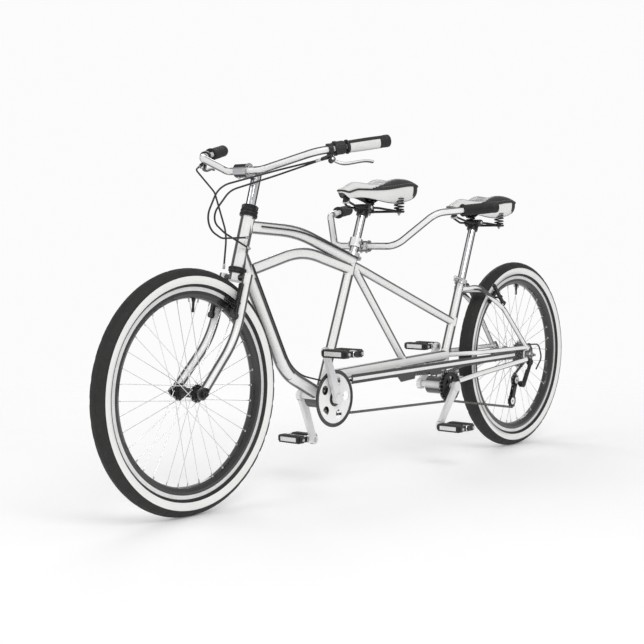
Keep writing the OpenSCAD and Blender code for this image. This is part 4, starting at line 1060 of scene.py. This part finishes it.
saddle_frame("captain_seat_frame", sp1(T1P), SO1, SEAT1, "captain_seat", "captain_saddle_frame")
saddle_frame("stoker_seat_frame", sp2(T2P), SO2, SEAT2, "stoker_seat", "stoker_saddle_frame")


# ------------------------------------------------------------------ grips
def grip(b, p_end, e1, out, length, two_tone):
    """ribbed rubber grip; p_end is the bar's end, e1 points out of it, out is the side that gets the pale panel"""
    e1 = V(e1).normalized()
    seg = 48
    u = (V(out) - e1 * e1.dot(V(out))).normalized()
    w = e1.cross(u)
    prof = [(-length, 0.0113, 0), (-length, 0.0185, 0), (-length + 0.0015, 0.0195, 0), (-length + 0.0045, 0.0195, 0), (-length + 0.006, 0.0172, 0)]
    h = -length + 0.008
    ribs = []
    while h < -0.018:
        ribs.append(h)
        prof += [(h, 0.0154, 1), (h + 0.0008, 0.0164, 1), (h + 0.0030, 0.0164, 1), (h + 0.0038, 0.0154, 1)]
        h += 0.0050
    prof += [(-0.016, 0.0160, 0), (-0.014, 0.0172, 0), (-0.002, 0.0174, 0), (0.0018, 0.0165, 0), (0.0038, 0.0140, 0), (0.0042, 0.0090, 0), (0.0036, 0.0042, 0),
             (0.0030, 0.0, 0)]
    verts, faces, mats = [], [], []
    for (h, r, z) in prof:
        for k in range(seg):
            a = 2 * math.pi * k / seg
            rr = r
            if z and math.cos(a) < -0.55:
                rr -= 0.0004
            if z and two_tone and math.cos(a) > 0.38:
                rr = 0.0166
            bulge = 0.0010 * math.sin(math.pi * max(0.0, min(1.0, (h + length) / length))) if z else 0.0
            verts.append(V(p_end) + e1 * h + (u * math.cos(a) + w * math.sin(a)) * (rr + bulge))
    for i in range(len(prof) - 1):
        for k in range(seg):
            l = (k + 1) % seg
            faces.append([i * seg + k, i * seg + l, (i + 1) * seg + l, (i + 1) * seg + k])
            mid = math.cos(2 * math.pi * (k + 0.5) / seg)
            pale = two_tone and prof[i][2] and prof[i + 1][2] and mid > 0.38 and prof[i][0] < -0.030
            mats.append(M["grip_pale"] if pale else M["grip_rubber"])
    b.add(verts, faces, mats)


b = Build()
down = V((0.15, 0.75, -0.62))
grip(b, CB[3], E1, down, 0.128, True)
grip(b, mir(CB[3]), mir(E1), mir(down), 0.128, True)
b.make("captain_rubber_grips", "fork", "grip_rubber", replaces=("captain_grips",), sharp=40)
b = Build()
grip(b, SB[3], SE1, down, 0.125, False)
grip(b, mir(SB[3]), mir(SE1), mir(down), 0.125, False)
b.make("stoker_rubber_grips", "captain_seat", "grip_rubber", replaces=("stoker_grips",), sharp=40)

# twist shifter: flange and finger ribs
b = Build()
seg = 60
prof = [(-0.164, 0.0113), (-0.164, 0.0192), (-0.1632, 0.0202), (-0.1582, 0.0202), (-0.1575, 0.0180), (-0.1565, 0.0172), (-0.134, 0.0172), (-0.1322, 0.0164),
        (-0.131, 0.0150), (-0.131, 0.0113)]
verts, faces = [], []
full = []
for i, (h, r) in enumerate(prof):
    full.append((h, r))
    if i == 5:
        for j in range(1, 8):
            full.append((h + (0.0225) * j / 8, 0.0172))
for (h, r) in full:
    for k in range(seg):
        a = 2 * math.pi * k / seg
        rr = r
        if -0.1565 < h < -0.134 and k % 4 in (0, 1):
            rr += 0.0013
        verts.append(CB[3] + E1 * h + (E2 * math.cos(a) + E3 * math.sin(a)) * rr)
for i in range(len(full) - 1):
    for k in range(seg):
        l = (k + 1) % seg
        faces.append([i * seg + k, i * seg + l, (i + 1) * seg + l, (i + 1) * seg + k])
b.add(verts, faces, M["black_plastic"])
b.make("ribbed_twist_shifter", "shifter", "black_plastic", replaces=("twist_shifter",), sharp=35)


# brake levers: a flat forged blade, wider at the fingers, its tip flared away from the grip
def lever(name, flip, body, node):
    b = Build()
    pts = spline([cg(-180, 29), cg(-171, 34), cg(-158, 42), cg(-142, 46.5), (cg(-120, 47)), cg(-98, 46.5), cg(-80, 47.5), cg(-66, 51), cg(-59, 54.5)], 7)
    n_ = len(pts)
    seg_ = 20
    vs, fs = [], []
    for i, p in enumerate(pts):
        t = i / (n_ - 1)
        w = 0.0046 + 0.0030 * smooth01((t - 0.12) / 0.35)
        h = 0.0036 - 0.0006 * smooth01((t - 0.3) / 0.5)
        end = math.sqrt(max(0.0, 1 - max(0.0, (t - 0.93) / 0.07) ** 2)) if t > 0.93 else 1.0
        d = (pts[min(i + 1, n_ - 1)] - pts[max(i - 1, 0)]).normalized()
        nrm = E3.cross(d).normalized()
        for k in range(seg_):
            a = 2 * math.pi * k / seg_
            ca, sa_ = math.cos(a), math.sin(a)
            vs.append(p + E3 * (w * max(0.05, end) * math.copysign(abs(ca) ** 0.75, ca)) + nrm * (h * max(0.05, end) * math.copysign(abs(sa_) ** 0.75, sa_)))
    for i in range(n_ - 1):
        for k in range(seg_):
            l = (k + 1) % seg_
            fs.append([i * seg_ + k, i * seg_ + l, (i + 1) * seg_ + l, (i + 1) * seg_ + k])
    fs.append(list(range(seg_))[::-1])
    fs.append([(n_ - 1) * seg_ + k for k in range(seg_)])
    b.add(vs, fs, M["lever_alloy"])
    b.lathe(cg(-178, 30, -3.8), E3, [(0, 0.0), (0, 0.0064), (0.0006, 0.0070), (0.0070, 0.0070), (0.0076, 0.0064), (0.0076, 0.0)], M["lever_alloy"], seg=28)
    for s_ in (-1, 1):
        b.lathe(cg(-178, 30, s_ * 9.0), E3 * s_, [(0, 0.0), (0, 0.0042), (0.0014, 0.0042), (0.0019, 0.0034), (0.0019, 0.0016), (0.0008, 0.0016), (0.0008, 0.0)], M["steel"], seg=20)
    if flip:
        b.v = [mir(p) for p in b.v]
    b.make(name, body, "black_plastic", replaces=(node,), sharp=40)


lever("left_lever_blade", False, "left_lever", "left_brake_lever")
lever("right_lever_blade", True, "right_lever", "right_brake_lever")


# ------------------------------------------------------------------ chains
def head_a(a, c):
    d = math.hypot(c[0] - a[0], c[1] - a[1])
    return math.degrees(math.atan2(c[1] - a[1], c[0] - a[0])) + math.degrees(math.asin((a[3] * a[2] - c[3] * c[2]) / d))


def off_a(w, f):
    return f - 90 if w[3] > 0 else f + 90


def belt(W):
    n = len(W)
    ins = [off_a(W[i], head_a(W[i - 1], W[i])) for i in range(n)]
    outs = [off_a(W[i], head_a(W[i], W[(i + 1) % n])) for i in range(n)]
    steps = []
    for i in range(n):
        a = W[i][3] * (outs[i] - ins[i])
        while a < -0.5:
            a += 360
        while a >= 359.5:
            a -= 360
        steps.append(int(math.floor(a * W[i][4] / 360 + 0.5)))

    def pin(i, j):
        w = W[i % n]
        a = ins[i % n] + w[3] * j * 360 / w[4]
        return (w[0] + w[2] * cos(a), w[1] + w[2] * sin(a))

    P = []
    for i in range(n):
        P += [pin(i, j) for j in range(steps[i] + 1)]
        a, c = pin(i, steps[i]), pin(i + 1, 0)
        d = math.hypot(c[0] - a[0], c[1] - a[1])
        m = int(math.floor(d / PITCH + 0.5))
        P += [(a[0] + (c[0] - a[0]) * j / m, a[1] + (c[1] - a[1]) * j / m) for j in range(1, m)]
    return P


def roller_chain(name, W, y, node):
    P = [V((p[0], y, p[1])) for p in belt(W)]
    n = len(P)
    b = Build()
    plate = []
    for k in range(7):
        a = math.pi / 2 + math.pi * k / 6
        plate.append((0.0041 * math.cos(a), 0.0041 * math.sin(a), 0))
    plate.append((0.5, -0.0030, 1))
    for k in range(7):
        a = -math.pi / 2 + math.pi * k / 6
        plate.append((0.0041 * math.cos(a), 0.0041 * math.sin(a), 2))
    plate.append((0.5, 0.0030, 1))
    for i in range(n):
        p, q = P[i], P[(i + 1) % n]
        d = (q - p)
        L = d.length
        ex = d / L
        ez = V((-ex.z, 0, ex.x))
        outer = i % 2 == 0
        for s in (-1, 1):
            yo = (0.00228, 0.00292) if outer else (0.00152, 0.00222)
            vs = []
            for off in yo:
                for (a, c, t) in plate:
                    base = p if t == 0 else (q if t == 2 else p + d * 0.5)
                    vs.append(base + (ex * a if t != 1 else V((0, 0, 0))) + ez * c + V((0, s * off, 0)))
            m = len(plate)
            fs = [list(range(m)), list(range(m, 2 * m))[::-1]] + [[k, (k + 1) % m, m + (k + 1) % m, m + k] for k in range(m)]
            b.add(vs, fs, M["chain_steel"])
    for p in P:
        b.lathe(p + V((0, -0.0014, 0)), (0, 1, 0), [(0, 0.0), (0, 0.0036), (0.0003, 0.0039), (0.0025, 0.0039), (0.0028, 0.0036), (0.0028, 0.0)], M["roller_steel"], seg=12)
        b.lathe(p + V((0, -0.0033, 0)), (0, 1, 0), [(0, 0.0), (0, 0.0015), (0.0004, 0.0019), (0.0062, 0.0019), (0.0066, 0.0015), (0.0066, 0.0)], M["roller_steel"], seg=10)
    return b.make(name, "frame", "chain_steel", replaces=(node,), sharp=30)


roller_chain("timing_roller_chain", [(BB1.x, BB1.z, pr(24), 1, 24), (BB2.x, BB2.z, pr(24), 1, 24)], YT, "timing_chain")
roller_chain("drive_roller_chain", [(BB2.x, BB2.z, pr(24), 1, 24), (AXR.x, AXR.z, pr(16), 1, 16), (AXR.x + 0.048, 0.240, pr(11), -1, 11),
                                    (AXR.x + 0.074, 0.168, pr(11), 1, 11)], YD, "drive_chain")


# ------------------------------------------------------------------ pedals
def pedal(name, bb, a, s, body, node):
    e = bb + V((cos(a), 0, sin(a))) * (CL * s)
    b = Build()
    y0, y1 = 0.084, 0.182
    Y = lambda y: V((e.x, s * y, e.z))
    ax = V((0, s, 0))
    b.lathe(Y(y0), ax, [(0, 0.0066), (0, 0.0100), (0.001, 0.0110), (0.010, 0.0112), (0.012, 0.0092), (0.044, 0.0086), (0.078, 0.0092), (0.080, 0.0110), (0.096, 0.0112),
                        (0.0975, 0.0100), (0.098, 0.0)], M["alloy"], seg=32)
    # dust cap
    b.lathe(Y(y1 - 0.0002), ax, [(0, 0.0085), (0.002, 0.0085), (0.003, 0.0070), (0.003, 0.0)], M["black_plastic"], seg=24)
    for y in (0.089, 0.177):
        b.box(V((e.x, s * y, e.z)), (0.040, 0, 0), (0, 0.0026, 0), (0, 0, 0.0088), M["black_steel"], 0.0016)
        for d in (-1, 1):
            b.lathe(V((e.x + d * 0.030, s * (y + (0.0026 if y > 0.1 else -0.0026)), e.z)), ax * (1 if y > 0.1 else -1),
                    [(0, 0.0), (0, 0.0055), (0.0035, 0.0055), (0.0042, 0.0045), (0.0042, 0.0)], M["steel"], seg=6)
    for d in (-1, 1):
        c = V((e.x + d * 0.030, s * 0.133, e.z))
        b.box(c, (0.0142, 0, 0), (0, 0.0412, 0), (0, 0, 0.0100), M["pedal_rubber"], 0.0022)
        # tread: raised ribs on both faces
        for z in (-1, 1):
            for k in range(9):
                y = s * (0.0965 + k * 0.0091)
                b.box(V((c.x, y, e.z + z * 0.0107)), (0.0136, 0, 0), (0, 0.0028, 0), (0, 0, 0.0012), M["pedal_rubber"], 0.0009)
        # reflector in the outer face
        b.box(V((e.x + d * 0.0443, s * 0.133, e.z)), (0.0013, 0, 0), (0, 0.0335, 0), (0, 0, 0.0078), M["black_plastic"], 0.0010)
        b.box(V((e.x + d * 0.0455, s * 0.133, e.z)), (0.0010, 0, 0), (0, 0.0310, 0), (0, 0, 0.0064), M["reflector"], 0.0007)
    b.make(name, body, "pedal_rubber", replaces=(node,), sharp=30)


pedal("captain_left_block_pedal", BB1, CA, 1, "captain_left_pedal", "captain_left_pedal")
pedal("captain_right_block_pedal", BB1, CA, -1, "captain_right_pedal", "captain_right_pedal")
pedal("stoker_left_block_pedal", BB2, SA, 1, "stoker_left_pedal", "stoker_left_pedal")
pedal("stoker_right_block_pedal", BB2, SA, -1, "stoker_right_pedal", "stoker_right_pedal")


# ------------------------------------------------------------------ cables
def mm(*p):
    return V(p) / 1000


def ferrule(b, p, d, L=0.014, r=0.0036):
    b.lathe(p, d, [(0, 0.0), (0, r * 0.9), (0.0006, r), (L - 0.001, r), (L, r * 0.75), (L, 0.0)], M["steel"], seg=14)


b = Build()
P = arc_path([mir(cg(-208.5, 24.6)), mir(cg(-246, 32)), mm(604, -110, 868), st(452, 44, -24), st(356, 36, -16)], [0.030, 0.060, 0.120], 0.005)
b.tube(P, 0.0026, M["cable_black"], seg=10)
ferrule(b, P[0], P[1] - P[0])
ferrule(b, P[-1], P[-2] - P[-1])
b.make("front_brake_housing", "fork", "cable_black", replaces=("bar_cables",), sharp=40)

ends = (mm(706, 34, 744), mm(640, 90, 900))
for nm, pts, R in (("rear_brake_bar_housing", [cg(-209.6, 24.8), mm(598, 122, 922), mm(742, 40, 876), mm(800, 38, 772), mm(730, 38, 738), mm(620, 34, 741)], [0.060, 0.070, 0.048, 0.040]),
                   ("shift_bar_housing", [cg(-166, 19, 14), cg(-206, 22, 15), mm(604, 124, 908), mm(706, 46, 866), mm(766, 30, 790), mm(706, 27, 752), st(424) + mm(-4, 28, 0)],
                    [0.060, 0.060, 0.060, 0.034, 0.050])):
    b = Build()
    P = arc_path(pts, R, 0.005)
    b.tube(P, 0.0026, M["cable_black"], seg=10)
    ferrule(b, P[0], P[1] - P[0])
    ferrule(b, P[-1], P[-2] - P[-1])
    o = b.make(nm, None, "cable_black", sharp=40)
    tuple(ends[0])
    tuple(ends[1])
    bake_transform(o)

# ------------------------------------------------------------------ small fastened details
b = Build()
for s in (533.5, 530.5, 519, 523, 366, 361):
    r = 0.0238 if s > 528 or s < 364 else 0.0246
    prof = []
    for k in range(9):
        a = 360 * k / 8
        prof.append((0.0011 * sin(a), r + 0.0009 * cos(a)))
    b.lathe(st(s), UP, prof[:-1], M["grip_rubber"], seg=48, closed=True)
b.make("headset_seal_rings", "frame", "grip_rubber", sharp=None)

# socket bolts on the stems and the seat collar
b = Build()


def socket_bolt(b, p, d, r=0.0042, h=0.005, m="steel"):
    d = V(d).normalized()
    b.lathe(p, d, [(0, 0.0), (0, r * 1.35), (0.0008, r * 1.35), (0.0008, r), (h, r), (h + 0.0004, r * 0.9), (h + 0.0004, r * 0.52), (h - 0.002, r * 0.52), (h - 0.002, 0.0)], M[m], seg=24)


a1 = math.atan2(SEAT1.x, SEAT1.z)
cx, cz = V((math.cos(a1), 0, -math.sin(a1))), SEAT1
for s in (1, -1):
    socket_bolt(b, sp1(T1 - 0.007) + cx * (-0.0255) + V((0, s * 0.009, 0)), (0, s, 0), 0.0036, 0.004)
b.make("captain_collar_bolt", "frame", "steel")

b = Build()
for s in (1, -1):
    socket_bolt(b, CBC + V((0.0, s * 0.010, 0)) + FW * (-0.0) + UP * (-0.0195), -UP, 0.0034, 0.004)
b.make("captain_stem_bolts", "fork", "steel")
b = Build()
for s in (1, -1):
    socket_bolt(b, SBC + V((0, s * 0.010, -0.0175)), (0, 0, -1), 0.0032, 0.004)
    socket_bolt(b, sp1(0.488) + V((0.0, s * 0.0190, 0)) + cx * 0.004, (0, s, 0), 0.0036, 0.0042)
b.make("stoker_stem_bolts", "captain_seat", "steel")


# pale stripe on the guard, as drawn
b = Build()
pts = [(0.190, 0.32034), (-0.735, 0.33461)]
x0, z0 = pts[0]
x1, z1 = pts[1]
dx, dz = x1 - x0, z1 - z0
L = math.hypot(dx, dz)
b.box(V(((x0 + x1) / 2, 0.06075, (z0 + z1) / 2)), V((dx / 2, 0, dz / 2)), (0, 0.00045, 0), V((-dz / L, 0, dx / L)) * 0.0048, M["pale_stripe"], 0.0003)
b.make("guard_stripe", "frame", "black_enamel")

# ------------------------------------------------------------------ floor, light, camera
n = N("studio_floor")
g = n.noise(3.0, 5)
n.set("Base Color", n.mix(g, (0.93, 0.93, 0.93), (0.96, 0.96, 0.96)))
n.set("Emission Color", (1.0, 1.0, 1.0, 1.0))
n.set("Emission Strength", 0.16)
n.set("Roughness", 0.75)
n.set("Specular IOR Level", 0.15)
# the floor melts into the backdrop away from the object
sep = n.new("ShaderNodeSeparateXYZ")
n.link(n.tc, sep.inputs[0])
dist = n.math("SQRT", n.math("ADD", n.math("MULTIPLY", sep.outputs[0], sep.outputs[0]), n.math("MULTIPLY", sep.outputs[1], sep.outputs[1])))
fade = n.new("ShaderNodeMapRange", interpolation_type="SMOOTHSTEP")
n.link(dist, fade.inputs["Value"])
fade.inputs["From Min"].default_value = 1.3
fade.inputs["From Max"].default_value = 3.6
tr = n.new("ShaderNodeBsdfTransparent")
mixs = n.new("ShaderNodeMixShader")
n.link(fade.outputs[0], mixs.inputs[0])
n.link(n.b.outputs[0], mixs.inputs[1])
n.link(tr.outputs[0], mixs.inputs[2])
n.link(mixs.outputs[0], n.out.inputs[0])
me = bpy.data.meshes.new("floor")
S = 12.0
me.from_pydata([(-S, -S, 0), (S, -S, 0), (S, S, 0), (-S, S, 0)], [], [[0, 1, 2, 3]])
me.materials.append(n.m)
fl = bpy.data.objects.new("floor", me)
coll.objects.link(fl)

w = bpy.data.worlds.new("studio")
w.use_nodes = True
wt = w.node_tree
bg = wt.nodes["Background"]
bg.inputs[0].default_value = (1.0, 1.0, 1.0, 1)
lp = wt.nodes.new("ShaderNodeLightPath")
mr = wt.nodes.new("ShaderNodeMapRange")
mr.inputs["To Min"].default_value = 0.60
mr.inputs["To Max"].default_value = 0.97
wt.links.new(lp.outputs["Is Camera Ray"], mr.inputs["Value"])
wt.links.new(mr.outputs[0], bg.inputs[1])
bpy.context.scene.world = w


def area(name, loc, look, size, power):
    l = bpy.data.lights.new(name, "AREA")
    l.shape = "RECTANGLE"
    l.size, l.size_y = size
    l.energy = power
    ob = bpy.data.objects.new(name, l)
    coll.objects.link(ob)
    ob.location = loc
    ob.rotation_euler = (V(look) - V(loc)).to_track_quat("-Z", "Y").to_euler()
    return ob


area("key", (2.6, 4.2, 4.6), (0, 0, 0.4), (3.6, 2.6), 120)
area("fill", (5.0, -2.0, 2.6), (0.2, 0, 0.5), (3.0, 2.0), 30)
area("back", (-3.4, -3.6, 3.4), (-0.2, 0, 0.5), (3.0, 2.0), 50)

cam = bpy.data.cameras.new("camera")
cam.sensor_width = 36.0
cam.lens = 1305.42 / 644 * 36.0
cam.clip_end = 200
co = bpy.data.objects.new("camera", cam)
coll.objects.link(co)
f = V((-0.77032359, -0.63493868, -0.05877448)).normalized()
r = V((-0.63609123, 0.77161297, 0.00117661)).normalized()
u = r.cross(f).normalized()
co.matrix_world = Matrix(((r.x, u.x, -f.x, 3.24883), (r.y, u.y, -f.y, 2.46093), (r.z, u.z, -f.z, 0.72040), (0, 0, 0, 1)))
bpy.context.scene.camera = co
bpy.context.scene.view_settings.view_transform = "Standard"
